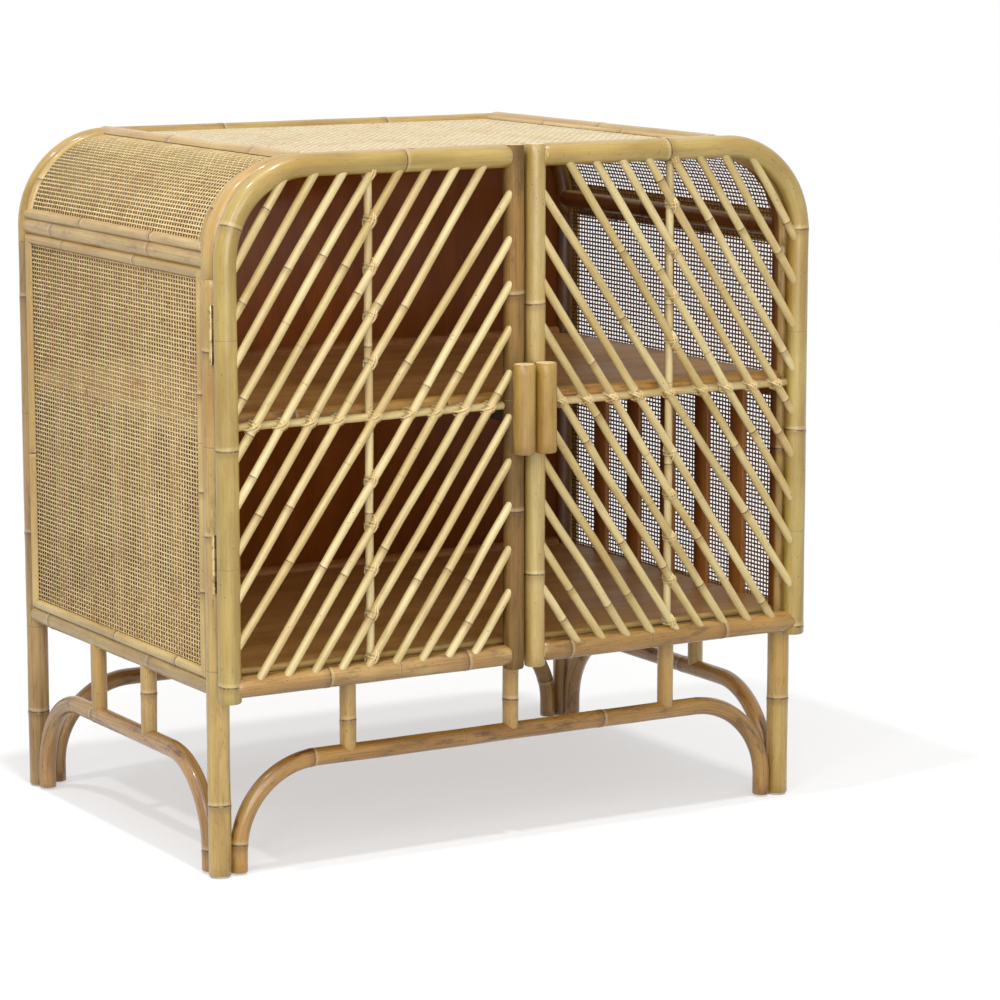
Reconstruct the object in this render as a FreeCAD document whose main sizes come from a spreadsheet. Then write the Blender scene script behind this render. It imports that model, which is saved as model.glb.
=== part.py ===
"""Record cabinet in bent rattan pole, with woven sides and two doors of slanting canes.

Frame: X to the right, Y to the back, Z up, in millimetres.  The origin is on the floor, under the
middle of the whole cabinet with its doors and handles.  Heights are from the floor.

Every size is a cell of the sheet "Sizes".  Formulas below are written over the names of those
cells, and formula() turns them into document expressions, so the model follows the sheet.
"""

import FreeCAD, Part

import os
import re

import Sketcher

# name, millimetres (or a count, or degrees), what it is
SIZES = (
    ("bend_pieces", 6, "straight lengths that stand in for a bend"),
    ("pole_sides", 16, "sides of posts, rails, bent poles and handles, which stand in for round"),
    ("low_sides", 12, "sides of the leg arches and spindles, which stand in for round"),
    ("small_sides", 8, "sides of canes and hinge knuckles, which stand in for round"),
    ("case_width", 880, "between the centres of the left and right posts"),
    ("case_depth", 580, "between the centres of the front and rear posts"),
    ("case_setback", 31.5, "from the origin back to the middle of the posts"),
    ("hoop_height", 922, "centre line of the hoops' level part"),
    ("corner_radius", 120, "centre line of the hoops' bends"),
    ("hoop_leg", 20, "straight end of a hoop, below its bend"),
    ("post_dia", 30, "posts and hoops"),
    ("bottom_rail_dia", 26, "rails under the floor"),
    ("bottom_rail_height", 252, "their centre line"),
    ("mid_rail_dia", 26, "side rails below the shoulders"),
    ("mid_rail_rise", 3, "their centre line above the feet of the hoops' bends"),
    ("glide_dia", 26, "glides under the posts"),
    ("glide_thick", 3, "glides under the posts"),
    ("arch_dia", 24, "poles of the leg arches"),
    ("arch_height", 143, "centre line of their level part"),
    ("arch_radius", 115, "centre line of their bends"),
    ("spindle_dia", 22, "spindles between bottom rail and arch"),
    ("spindle_spread", 250, "between the spindles at the front and the rear"),
    ("side_spindle_spread", 160, "between the spindles at a side"),
    ("web_offset", 6, "from the poles' centre plane out to the webbing"),
    ("web_thick", 2, "webbing, a layer of warp and a layer of weft"),
    ("web_warps", 12, "warp strips of a side, and of a shoulder"),
    ("web_wefts", 12, "weft strips of a side"),
    ("warp_width", 25, "warp strips"),
    ("weft_width", 25, "weft strips of a side"),
    ("shoulder_weft_width", 19, "weft strips of a shoulder, one on each flat of its bend"),
    ("bead_width", 14, "half-round beading of the sides"),
    ("bead_height", 6, "half-round beading of the sides"),
    ("top_rail_width", 26, "split-pole rails on the top"),
    ("top_rail_height", 9, "split-pole rails on the top"),
    ("top_bead_width", 10, "beading beside the top rails"),
    ("top_bead_height", 4, "beading beside the top rails"),
    ("top_board_thick", 5, "board under the top webbing"),
    ("back_thick", 6, "back panel"),
    ("floor_thick", 9, "floor panel, and its rounded front edge"),
    ("shelf_thick", 9, "shelf panel"),
    ("shelf_pole_dia", 24, "pole along the front of the shelf"),
    ("shelf_pole_height", 597, "its centre line"),
    ("shelf_top_rise", 3, "top of the shelf above that centre line"),
    ("bearer_width", 12, "bearers under the shelf's ends"),
    ("bearer_height", 20, "bearers under the shelf's ends"),
    ("slat_width", 40, "upright slats inside the lower sides"),
    ("slat_thick", 8, "upright slats inside the lower sides"),
    ("slat_pitch", 91, "from slat to slat"),
    ("slat_count", 5, "slats on each side"),
    ("inner_bead", 10, "quarter-round beading inside"),
    ("door_gap", 5, "between the posts and the doors' outer stiles"),
    ("door_pole_dia", 30, "bent pole of a door"),
    ("door_rise", 2, "centre line of a door's top rail, above the hoops' level part"),
    ("door_bottom_height", 257, "centre line of a door's bottom rail"),
    ("stile_overhang", 19, "stiles below the centre line of the bottom rail"),
    ("stile_dia", 28, "inner stile"),
    ("door_rail_dia", 28, "bottom rail of a door"),
    ("meeting_gap", 5, "between the two inner stiles"),
    ("cope_reach", 9, "from the inner stile's centre line to the ends coped to it"),
    ("cane_dia", 10, "slanting canes"),
    ("canes_inner", 10, "canes that end on the inner stile"),
    ("canes_outer", 9, "canes that end on the outer stile"),
    ("inner_first_rise", 99, "lowest cane end on the inner stile, above the bottom rail"),
    ("inner_last_drop", 37, "highest cane end on the inner stile, below the top rail"),
    ("outer_first_rise", 41, "lowest cane end on the outer stile, above the bottom rail"),
    ("outer_last_drop", 142, "highest cane end on the outer stile, below the top rail"),
    ("bottom_first", 34, "first cane end on the bottom rail, from the outer stile"),
    ("bottom_last", 70, "last cane end on the bottom rail, from the inner stile"),
    ("top_first", 92, "first cane end on the top rail, from the outer stile"),
    ("top_last", 42, "last cane end on the top rail, from the inner stile"),
    ("cross_dia", 10, "crossbar behind the canes"),
    ("upright_dia", 9, "upright behind the canes, in two lengths"),
    ("crossbar_height", 594, "centre line of the crossbar"),
    ("upright_distance", 208, "upright, from the outer stile"),
    ("handle_dia", 30, "handle"),
    ("handle_length", 120, "handle"),
    ("handle_height", 592, "middle of the handle"),
    ("handle_chamfer", 2, "bevelled edges of the handle's ends"),
    ("handle_seat", 1, "how deep the handle is scribed to the stile"),
    ("hinge_length", 75, "butt hinges"),
    ("upper_hinge_drop", 70, "middle of the upper hinges, below the tops of the posts"),
    ("lower_hinge_height", 417, "middle of the lower hinges"),
    ("knuckle_dia", 6, "hinge knuckles"),
    ("pin_dia", 2.4, "hinge pins"),
    ("pin_head_dia", 3.8, "button heads of the pins"),
    ("pin_head_thick", 1.2, "button heads of the pins"),
    ("pin_clearance", 0.05, "round the pin in the door's knuckles"),
    ("knuckle_gap", 0.3, "between neighbouring knuckles"),
    ("knuckle_count", 5, "knuckles of a hinge"),
    ("hinge_inset", 12, "from the hinge axis in to the poles' centre line"),
    ("leaf_width", 17.5, "hinge leaves, from the axis"),
    ("leaf_thick", 1.4, "hinge leaves"),
    ("leaf_gap", 4, "between closed leaves"),
    ("sweep_clearance", 0.4, "from a knuckle to the other leaf"),
    ("catch_width", 14, "magnetic catch"),
    ("catch_height", 14, "magnetic catch, below the shelf pole"),
    ("catch_depth", 46, "magnetic catch, front to back"),
    ("strike_width", 10, "strike plate"),
    ("strike_height", 30, "strike plate"),
    ("strike_thick", 1.5, "strike plate"),
    ("strike_inlay", 1, "how deep the strike plate is let into the stile"),
    ("small_gap", 0.3, "between pieces that only just clear"),
)

DOC = FreeCAD.newDocument("record_cabinet")
SHEET = DOC.addObject("Spreadsheet::Sheet", "Sizes")
NAMES = {name for name, _, _ in SIZES}
WORD = re.compile(r"[a-z_]+[a-z_0-9]*")
PIECES = {}

# Places that many pieces share, written over the sheet's names.
HALF_WIDTH = "case_width / 2"
FRONT = "(case_setback - case_depth / 2)"
REAR = "(case_setback + case_depth / 2)"
POST_TOP = "(hoop_height - corner_radius - hoop_leg)"
SPRING = "(hoop_height - corner_radius)"
MID_RAIL = f"({SPRING} + mid_rail_rise)"
BEND_X = f"({HALF_WIDTH} - corner_radius)"
WEB_OUT = "(web_offset + web_thick)"
HALF_FLAT = "(45 deg / bend_pieces)"
WARP_OUT = f"((corner_radius + web_offset + web_thick / 2) * cos({HALF_FLAT}))"
FLOOR_TOP = "(bottom_rail_height + bottom_rail_dia / 2 + floor_thick)"
SHELF_TOP = "(shelf_pole_height + shelf_top_rise)"
SHELF_UNDER = f"({SHELF_TOP} - shelf_thick)"
BACK_FACE = f"({REAR} - back_thick / 2)"
DOOR_PLANE = f"({FRONT} - post_dia / 2 - door_gap - door_pole_dia / 2)"
DOOR_TOP = "(hoop_height + door_rise)"
INNER_STILE = "(meeting_gap / 2 + stile_dia / 2)"
DOOR_SPAN = f"({HALF_WIDTH} - {INNER_STILE})"
DOOR_FOOT = "(door_bottom_height - stile_overhang)"
HINGE_X = f"({HALF_WIDTH} + hinge_inset)"
HINGE_Y = f"({FRONT} - post_dia / 2 - door_gap / 2)"

CATCH_FACE = f"({DOOR_PLANE} + stile_dia / 2 - strike_inlay + strike_thick + small_gap)"

SIDES = (("left", -1), ("right", 1))
UP = (0, 0, 1)
ENDS = (("front", FRONT), ("rear", REAR))
# Turns that lay a cylinder, drawn upright, along an axis.
LAY = {
    "X": FreeCAD.Rotation(FreeCAD.Vector(0, 1, 0), 90),
    "Y": FreeCAD.Rotation(FreeCAD.Vector(1, 0, 0), -90),
    "Z": FreeCAD.Rotation(),
}
# Turns that stand a sketch upright, its horizontal along an axis or against it.
STAND = {
    "X": FreeCAD.Rotation(FreeCAD.Vector(1, 0, 0), 90),
    "Y": FreeCAD.Rotation(FreeCAD.Vector(1, 1, 1), 120),
    "-X": FreeCAD.Rotation(FreeCAD.Vector(0, 1, 1), 180),
}


def fill_sheet():
    """Write the sizes into the sheet: a note, the number and its alias in each row."""
    for row, (name, number, note) in enumerate(SIZES, start=1):
        SHEET.set(f"A{row}", note)
        SHEET.set(f"B{row}", str(number))
        SHEET.setAlias(f"B{row}", name)
    DOC.recompute()


def formula(text):
    """Turn a formula over the sheet's names into a document expression."""
    return WORD.sub(lambda hit: f"Sizes.{hit[0]}" if hit[0] in NAMES else hit[0], str(text))


def number(text):
    """Work out a formula now, for counts and for the first draft of a sketch."""
    return float(SHEET.evalExpression(formula(text)))


def bind(thing, **formulas):
    """Drive properties of an object by formulas."""
    for name, text in formulas.items():
        thing.setExpression(name, formula(text))


def place(thing, x=0, y=0, z=0):
    """Drive an object's position by formulas."""
    for axis, text in zip("xyz", (x, y, z)):
        thing.setExpression(f"Placement.Base.{axis}", formula(text))


# ---- building blocks -------------------------------------------------------------------------


def block(name, lengths, centre):
    """A box by its three lengths and its centre."""
    box = DOC.addObject("Part::Box", name)
    bind(box, Length=lengths[0], Width=lengths[1], Height=lengths[2])
    place(box, *(f"{c} - ({side}) / 2" for c, side in zip(centre, lengths)))
    return box


def bar(name, axis, diameter, length, start):
    """A round bar that runs from its start along one axis."""
    rod = DOC.addObject("Part::Cylinder", name)
    rod.Placement.Rotation = LAY[axis]
    bind(rod, Radius=f"({diameter}) / 2", Height=length)
    place(rod, *start)
    return rod


def prism(name, axis, diameter, sides, length, start):
    """A bar like the round one, but with the number of sides given."""
    rod = DOC.addObject("Part::Prism", name)
    rod.Placement.Rotation = LAY[axis]
    bind(rod, Polygon=sides, Circumradius=f"({diameter}) / 2", Height=length)
    place(rod, *start)
    return rod


def slanted_prism(name, diameter, sides, foot, top, y):
    """A prism between two points (x, z) of an upright plane."""
    rod = DOC.addObject("Part::Prism", name)
    rod.Placement.Rotation = FreeCAD.Rotation(FreeCAD.Vector(0, 1, 0), 45)
    run = f"({top[0]} - ({foot[0]}))"
    rise = f"({top[1]} - ({foot[1]}))"
    bind(rod, Polygon=sides, Circumradius=f"({diameter}) / 2",
         Height=f"sqrt({run} ^ 2 + {rise} ^ 2)")
    rod.setExpression("Placement.Rotation.Angle", formula(f"atan2({run}; {rise})"))
    place(rod, foot[0], y, foot[1])
    return rod


def group(name, things):
    """Several solids as one object."""
    bundle = DOC.addObject("Part::Compound", name)
    bundle.Links = list(things)
    return bundle


def cut(name, base, tools):
    """A solid, or group of solids, with other solids taken out of it."""
    tools = list(tools)
    tool = tools[0] if len(tools) == 1 else group(f"{name}_tools", tools)
    result = DOC.addObject("Part::Cut", name)
    result.Base = base
    result.Tool = tool
    return result


def fuse(name, things):
    """Several overlapping solids as one solid."""
    result = DOC.addObject("Part::MultiFuse", name)
    result.Shapes = list(things)
    return result


def keep(node, thing):
    """Name a finished piece and put it on the list of nodes."""
    thing.Label = node
    PIECES[node] = thing
    return thing


def drive(sketch, kind, *picks, size):
    """Add a dimension to a sketch and drive it by a formula."""
    index = sketch.addConstraint(Sketcher.Constraint(kind, *picks, number(size)))
    sketch.setExpression(f"Constraints[{index}]", formula(size))


def sketch_on(name, axis, x, y):
    """A sketch that stands upright at a place, with its horizontal along an axis."""
    sketch = DOC.addObject("Sketcher::SketchObject", name)
    sketch.Placement.Rotation = STAND[axis]
    place(sketch, x, y, 0)
    return sketch


def sweep_pole(name, path, diameter, start, sides=None):
    """Sweep a level section, round or with sides, from the start along the path."""
    if sides:
        section = DOC.addObject("Part::RegularPolygon", f"{name}_section")
        bind(section, Polygon=sides, Circumradius=f"({diameter}) / 2")
    else:
        section = DOC.addObject("Part::Circle", f"{name}_section")
        bind(section, Radius=f"({diameter}) / 2")
    place(section, *start)
    DOC.recompute()
    pole = DOC.addObject("Part::Sweep", name)
    pole.Sections = [section]
    pole.Spine = (path, [f"Edge{index}" for index, _ in enumerate(path.Shape.Edges, start=1)])
    pole.Solid = True
    pole.Transition = "Right corner"
    return pole


def corner_arc(x, z, radius, first, last):
    """An arc of a sketch by its centre, radius and two angles in degrees."""
    circle = Part.Circle(FreeCAD.Vector(x, z, 0), FreeCAD.Vector(0, 0, 1), radius)
    return Part.ArcOfCircle(circle, first * 3.141592653589793 / 180, last * 3.141592653589793 / 180)


def line(x0, z0, x1, z1):
    """A straight edge of a sketch."""
    return Part.LineSegment(FreeCAD.Vector(x0, z0, 0), FreeCAD.Vector(x1, z1, 0))


def arch_edges(sketch, span, foot, top, radius):
    """Draw an upright arch, symmetric about the sketch's vertical axis, and dimension it.

    The edges are: left leg, left bend, level part, right bend, right leg.
    """
    half, low, high, bend = (number(text) for text in (f"({span}) / 2", foot, top, radius))
    inner, spring = half - bend, high - bend
    sketch.addGeometry(line(-half, low, -half, spring), False)
    sketch.addGeometry(corner_arc(-inner, spring, bend, 90, 180), False)
    sketch.addGeometry(line(-inner, high, inner, high), False)
    sketch.addGeometry(corner_arc(inner, spring, bend, 0, 90), False)
    sketch.addGeometry(line(half, spring, half, low), False)
    for edge, end, next_edge, next_end in ((0, 2, 1, 2), (1, 1, 2, 1), (2, 2, 3, 2), (3, 1, 4, 1)):
        sketch.addConstraint(Sketcher.Constraint("Tangent", edge, end, next_edge, next_end))
    sketch.addConstraint(Sketcher.Constraint("Vertical", 0))
    sketch.addConstraint(Sketcher.Constraint("Vertical", 4))
    sketch.addConstraint(Sketcher.Constraint("Horizontal", 2))
    sketch.addConstraint(Sketcher.Constraint("Equal", 1, 3))
    sketch.addConstraint(Sketcher.Constraint("Symmetric", 0, 1, 4, 2, -2))
    drive(sketch, "Radius", 1, size=radius)
    drive(sketch, "DistanceX", 0, 1, 4, 2, size=span)
    drive(sketch, "DistanceY", -1, 1, 0, 1, size=foot)
    drive(sketch, "DistanceY", -1, 1, 2, 1, size=top)


def chords(sketch, bend):
    """Draw equal chords along a bend, which itself stays as a construction line."""
    sketch.toggleConstruction(bend)
    arc = sketch.Geometry[bend]
    pieces = int(number("bend_pieces"))
    step = (arc.LastParameter - arc.FirstParameter) / pieces
    corners = [arc.value(arc.FirstParameter + index * step) for index in range(pieces + 1)]
    drawn = [sketch.addGeometry(Part.LineSegment(*pair), False) for pair in zip(corners, corners[1:])]
    sketch.addConstraint(Sketcher.Constraint("Coincident", drawn[0], 1, bend, 1))
    sketch.addConstraint(Sketcher.Constraint("Coincident", drawn[-1], 2, bend, 2))
    for before, after in zip(drawn, drawn[1:]):
        sketch.addConstraint(Sketcher.Constraint("Coincident", before, 2, after, 1))
        sketch.addConstraint(Sketcher.Constraint("PointOnObject", before, 2, bend))
        sketch.addConstraint(Sketcher.Constraint("Equal", before, after))


def arch(node, axis, diameter, span, foot, top, radius, x=0, y=0, sides=None):
    """One pole bent into an arch that stands along X or Y."""
    path = sketch_on(f"{node}_path", axis, x, y)
    arch_edges(path, span, foot, top, radius)
    chords(path, 1)
    chords(path, 3)
    start_x = f"({x}) - ({span}) / 2" if axis == "X" else x
    start_y = f"({y}) - ({span}) / 2" if axis == "Y" else y
    return sweep_pole(node, path, diameter, (start_x, start_y, foot), sides)


def half_round(name, width, height, length, start, turn, mitre="0"):
    """A strip of half-round beading, flat side down, or a split pole.

    In its own frame it runs along X from the start, its outer edge on the X axis, its width along
    +Y and its height along +Z.  The section is a segment of a circle.  mitre is how much shorter
    the inner edge is at each end.  turn lays the strip in its place.
    """
    circle = f"((({width}) / 2) ^ 2 + ({height}) ^ 2) / ({height})"
    radius = f"({circle}) / 2"
    rod = bar(f"{name}_rod", "X", circle, length, (0, f"({width}) / 2", f"({height}) - {radius}"))
    outline = DOC.addObject("Part::Wedge", f"{name}_outline")
    bind(outline, Xmin="0", Xmax=length, Ymin="0", Ymax=width, Zmin="0", Zmax=height,
         X2min=mitre, X2max=f"({length}) - ({mitre})", Z2min="0", Z2max=height)
    strip = DOC.addObject("Part::Common", name)
    strip.Base = rod
    strip.Tool = outline
    strip.Placement.Rotation = turn
    place(strip, *start)
    return strip


def turned(*axes):
    """The rotation that takes local X, Y and Z to the three axes given."""
    vectors = [FreeCAD.Vector(*axis) for axis in axes]
    return FreeCAD.Rotation(*vectors, "XYZ")


def spaced(first, last, count, index):
    """Even spacing: the place of one item of a row that runs from first to last."""
    return f"({first} + {index} * (({last}) - ({first})) / ({count} - 1))"


# ---- the case ----------------------------------------------------------------------------------


def hinge_heights():
    """The middle of each hinge of a door."""
    return (("upper", f"({POST_TOP} - upper_hinge_drop)"), ("lower", "lower_hinge_height"))


def leaf_plate(name, side, sign, facing, height):
    """The flat of a hinge leaf: facing +1 lies against the post, -1 against the door."""
    x = f"{sign} * ({HINGE_X} - leaf_width / 2)"
    y = f"{HINGE_Y} + {facing} * (leaf_gap + leaf_thick) / 2"
    return block(name, ("leaf_width", "leaf_thick", "hinge_length"), (x, y, height))


def build_plates():
    """All hinge leaf plates, by side, facing and height: the poles are pared flat to seat them."""
    return {(side, facing, level): leaf_plate(f"plate_{side}_{level}_{owner}", side, sign, facing, z)
            for side, sign in SIDES
            for facing, owner in ((1, "case"), (-1, "door"))
            for level, z in hinge_heights()}


def build_posts(plates):
    """Four posts on glides; the front ones are pared flat for the hinges."""
    glides = []
    for end, y in ENDS:
        for side, sign in SIDES:
            node = f"post_{end}_{side}"
            x = f"{sign} * {HALF_WIDTH}"
            post = prism(f"{node}_pole", "Z", "post_dia", "pole_sides",
                         f"{POST_TOP} - glide_thick", (x, y, "glide_thick"))
            if end == "front":
                post = cut(node, post, [plates[side, 1, level] for level, _ in hinge_heights()])
            keep(node, post)
            glides.append(prism(f"glide_{end}_{side}", "Z", "glide_dia", "low_sides",
                                "glide_thick", (x, y, 0)))
    keep("foot_glides", group("foot_glides", glides))


def posts_at(end):
    """The two posts of the front or the rear."""
    return [PIECES[f"post_{end}_{side}"] for side, _ in SIDES]


def build_hoops():
    """A bent pole over the front posts and one over the rear posts."""
    for end, y in ENDS:
        node = f"hoop_{end}"
        keep(node, arch(node, "X", "post_dia", "case_width", POST_TOP, "hoop_height",
                        "corner_radius", y=y, sides="pole_sides"))


def build_rails():
    """Bottom rails all round and side rails at the shoulders, their ends coped to the poles."""
    all_posts = posts_at("front") + posts_at("rear")
    for end, y in ENDS:
        node = f"rail_bottom_{end}"
        pole = prism(f"{node}_pole", "X", "bottom_rail_dia", "pole_sides", "case_width",
                     (f"-{HALF_WIDTH}", y, "bottom_rail_height"))
        keep(node, cut(node, pole, posts_at(end)))
    across = [PIECES["rail_bottom_front"], PIECES["rail_bottom_rear"]]
    hoops = [PIECES["hoop_front"], PIECES["hoop_rear"]]
    for side, sign in SIDES:
        x = f"{sign} * {HALF_WIDTH}"
        node = f"rail_bottom_{side}"
        pole = prism(f"{node}_pole", "Y", "bottom_rail_dia", "pole_sides", "case_depth",
                     (x, FRONT, "bottom_rail_height"))
        keep(node, cut(node, pole, all_posts + across))
        node = f"rail_mid_{side}"
        pole = prism(f"{node}_pole", "Y", "mid_rail_dia", "pole_sides", "case_depth",
                     (x, FRONT, MID_RAIL))
        keep(node, cut(node, pole, all_posts + hoops))


def build_leg_arches():
    """Low arches between the feet: each leg stands against the side of a post."""
    reach = "(post_dia + arch_dia)"
    for end, y in ENDS:
        node = f"leg_arch_{end}"
        keep(node, arch(node, "X", "arch_dia", f"case_width - {reach}", "glide_thick",
                        "arch_height", "arch_radius", y=y, sides="low_sides"))
    for side, sign in SIDES:
        node = f"leg_arch_{side}"
        keep(node, arch(node, "Y", "arch_dia", f"case_depth - {reach}", "glide_thick",
                        "arch_height", "arch_radius", x=f"{sign} * {HALF_WIDTH}",
                        y="case_setback", sides="low_sides"))


def build_spindles():
    """Short uprights between a bottom rail and the arch below it, coped to both."""
    rise = "bottom_rail_height - arch_height"
    for end, y in ENDS:
        node = f"spindles_{end}"
        poles = [prism(f"{node}_{step + 2}", "Z", "spindle_dia", "low_sides", rise,
                       (f"{step} * spindle_spread", y, "arch_height")) for step in (-1, 0, 1)]
        keep(node, cut(node, group(f"{node}_poles", poles),
                       [PIECES[f"rail_bottom_{end}"], PIECES[f"leg_arch_{end}"]]))
    for side, sign in SIDES:
        node = f"spindles_{side}"
        poles = [prism(f"{node}_{step}", "Z", "spindle_dia", "low_sides", rise,
                       (f"{sign} * {HALF_WIDTH}",
                        f"case_setback + ({step}) * side_spindle_spread / 2", "arch_height"))
                 for step in (-1, 1)]
        keep(node, cut(node, group(f"{node}_poles", poles),
                       [PIECES[f"rail_bottom_{side}"], PIECES[f"leg_arch_{side}"]]))


def beside(diameter):
    """How far from a pole's centre line its surface is, at the webbing's inner face."""
    return f"sqrt(({diameter} / 2) ^ 2 - web_offset ^ 2)"


def strip_middles(first, last, count, width):
    """The middles of evenly spaced strips that fill the way between two edges."""
    return [spaced(f"({first} + {width} / 2)", f"({last} - {width} / 2)", count, index)
            for index in range(int(number(count)))]


def side_webbing(side, sign):
    """The flat webbing of a side: upright warp strips and, outside them, level weft strips."""
    node = f"webbing_side_{side}"
    front, rear = f"({FRONT} + {beside('post_dia')})", f"({REAR} - {beside('post_dia')})"
    low = f"(bottom_rail_height + {beside('bottom_rail_dia')})"
    high = f"({MID_RAIL} - {beside('mid_rail_dia')})"
    inner = f"({HALF_WIDTH} + web_offset + web_thick / 4)"
    warps = [block(f"{node}_warp_{index}", ("web_thick / 2", "warp_width", f"({high} - {low})"),
                   (f"{sign} * {inner}", y, f"({high} + {low}) / 2"))
             for index, y in enumerate(strip_middles(front, rear, "web_warps", "warp_width"))]
    wefts = [block(f"{node}_weft_{index}", ("web_thick / 2", f"({rear} - {front})", "weft_width"),
                   (f"{sign} * ({inner} + web_thick / 2)", f"({rear} + {front}) / 2", z))
             for index, z in enumerate(strip_middles(low, high, "web_wefts", "weft_width"))]
    keep(node, group(node, warps + wefts))


def shoulder_webbing(side, sign):
    """The webbing round a shoulder: bent warp strips and a straight weft strip on each flat."""
    node = f"webbing_shoulder_{side}"
    front, rear = f"({FRONT} + {beside('post_dia')})", f"({REAR} - {beside('post_dia')})"
    middle_y = f"({front} + {rear}) / 2"
    inner, outer = (prism(f"{node}_{name}", "Y", f"2 * ({radius})", "4 * bend_pieces",
                          f"{rear} - {front}", (f"{sign} * {BEND_X}", front, SPRING))
                    for name, radius in (("inner", "corner_radius + web_offset"),
                                         ("outer", "corner_radius + web_offset + web_thick / 2")))
    reach = f"(corner_radius + {WEB_OUT})"
    rooms = [block(f"{node}_room_{index}", (reach, "warp_width", reach),
                   (f"{sign} * ({BEND_X} + {reach} / 2)", y, f"{SPRING} + {reach} / 2"))
             for index, y in enumerate(strip_middles(front, rear, "web_warps", "warp_width"))]
    warps = DOC.addObject("Part::Common", f"{node}_warps")
    warps.Base = cut(f"{node}_round", outer, [inner])
    warps.Tool = group(f"{node}_rooms", rooms)
    strips = [warps]
    for index in range(int(number("bend_pieces"))):
        weft = block(f"{node}_weft_{index}",
                     ("web_thick / 2", f"({rear} - {front})", "shoulder_weft_width"),
                     (f"{sign} * ({WARP_OUT} + web_thick / 4)", middle_y, 0))
        strips.append(swung(f"{node}_weft_{index}_swung", sign, weft, f"{2 * index + 1} * {HALF_FLAT}",
                            BEND_X, SPRING))
    keep(node, cut(node, group(f"{node}_strips", strips), [PIECES[f"rail_mid_{side}"]]))


def swung(name, sign, thing, angle, x, z):
    """A thing turned up about its own Y axis by an angle, and moved out along X and up."""
    turned_up = group(name, [thing])
    turned_up.Placement.Rotation = FreeCAD.Rotation(FreeCAD.Vector(0, -sign, 0), 1)
    turned_up.setExpression("Placement.Rotation.Angle", formula(angle))
    place(turned_up, f"{sign} * {x}", 0, z)
    return turned_up


def build_webbing():
    """Cane webbing on the sides and shoulders, and a sheet of it on the top's board."""
    for side, sign in SIDES:
        side_webbing(side, sign)
        shoulder_webbing(side, sign)
    hoops = [PIECES["hoop_front"], PIECES["hoop_rear"]]
    for node, thick, middle in (("webbing_top", "web_thick", "web_thick / 2"),
                                ("top_board", "top_board_thick", "-top_board_thick / 2")):
        sheet = block(f"{node}_sheet", (f"2 * {BEND_X}", "case_depth", thick),
                      (0, "case_setback", f"hoop_height + web_offset + ({middle})"))
        keep(node, cut(node, sheet, hoops))


def scribe(diameter):
    """How far from a pole's centre line its surface is, at the webbing's outer face."""
    return f"sqrt(({diameter} / 2) ^ 2 - {WEB_OUT} ^ 2)"


def side_beading(side, sign):
    """A mitred frame on the flat webbing and a strip at the foot of the shoulder webbing."""
    node = f"beading_side_{side}"
    x = f"{sign} * ({HALF_WIDTH} + {WEB_OUT})"
    front = f"({FRONT} + {scribe('post_dia')})"
    rear = f"({REAR} - {scribe('post_dia')})"
    low = f"(bottom_rail_height + {scribe('bottom_rail_dia')})"
    high = f"({MID_RAIL} - {scribe('mid_rail_dia')})"
    strips = []
    # name, start along Y, start along Z, direction of the strip, direction of its width, length
    frame = (("foot", front, low, (0, 1, 0), (0, 0, 1), f"{rear} - {front}"),
             ("head", rear, high, (0, -1, 0), (0, 0, -1), f"{rear} - {front}"),
             ("rear", rear, low, (0, 0, 1), (0, -1, 0), f"{high} - {low}"),
             ("front", front, high, (0, 0, -1), (0, 1, 0), f"{high} - {low}"))
    for name, y, z, along, across, length in frame:
        if sign < 0:
            # mirror the strip: it starts at its other end, so that its flat still faces inwards
            y = f"({front} + {rear} - {y})" if along[1] else y
            z = f"({high} + {low} - {z})" if along[2] else z
            along = tuple(-value for value in along)
        strips.append(half_round(f"{node}_{name}", "bead_width", "bead_height", length, (x, y, z),
                                 turned(along, across, (sign, 0, 0)), "bead_width"))
    strips.append(shoulder_bead(f"{node}_shoulder", sign, front, rear))
    poles = posts_at("front") + posts_at("rear") + [PIECES["hoop_front"], PIECES["hoop_rear"],
                                                    PIECES[f"rail_bottom_{side}"],
                                                    PIECES[f"rail_mid_{side}"]]
    keep(node, cut(node, group(f"{node}_strips", strips), poles))


def shoulder_bead(name, sign, front, rear):
    """The strip along the foot of the shoulder's webbing, on the lowest flat of its bend."""
    outer = f"({WARP_OUT} + web_thick / 2)"
    rise = f"(mid_rail_rise + {scribe('mid_rail_dia')} + bead_width / 2)"
    along = f"(({rise} - {outer} * sin({HALF_FLAT})) / cos({HALF_FLAT}))"
    start = front if sign > 0 else rear
    strip = half_round(name, "bead_width", "bead_height", f"{rear} - {front}",
                       (f"{sign} * {outer}", start, f"{along} - bead_width / 2"),
                       turned((0, sign, 0), UP, (sign, 0, 0)))
    return swung(f"{name}_swung", sign, strip, HALF_FLAT, BEND_X, SPRING)


def build_top_trim():
    """Split-pole rails where the shoulders meet the top, and a thin bead along each."""
    hoops = [PIECES["hoop_front"], PIECES["hoop_rear"]]
    face = f"hoop_height + {WEB_OUT}"
    turn = turned((0, 1, 0), (-1, 0, 0), UP)
    beads = []
    for side, sign in SIDES:
        node = f"rail_top_{side}"
        edge = f"{sign} * {BEND_X} + top_rail_width / 2"
        rail = half_round(f"{node}_pole", "top_rail_width", "top_rail_height", "case_depth",
                          (edge, FRONT, face), turn)
        keep(node, cut(node, rail, hoops))
        middle = f"{sign} * ({BEND_X} - top_rail_width / 2 - top_bead_width / 2)"
        beads.append(half_round(f"bead_top_{side}", "top_bead_width", "top_bead_height",
                                "case_depth", (f"{middle} + top_bead_width / 2", FRONT, face),
                                turn))
    keep("beading_top", cut("beading_top", group("beads_top", beads), hoops))


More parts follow.
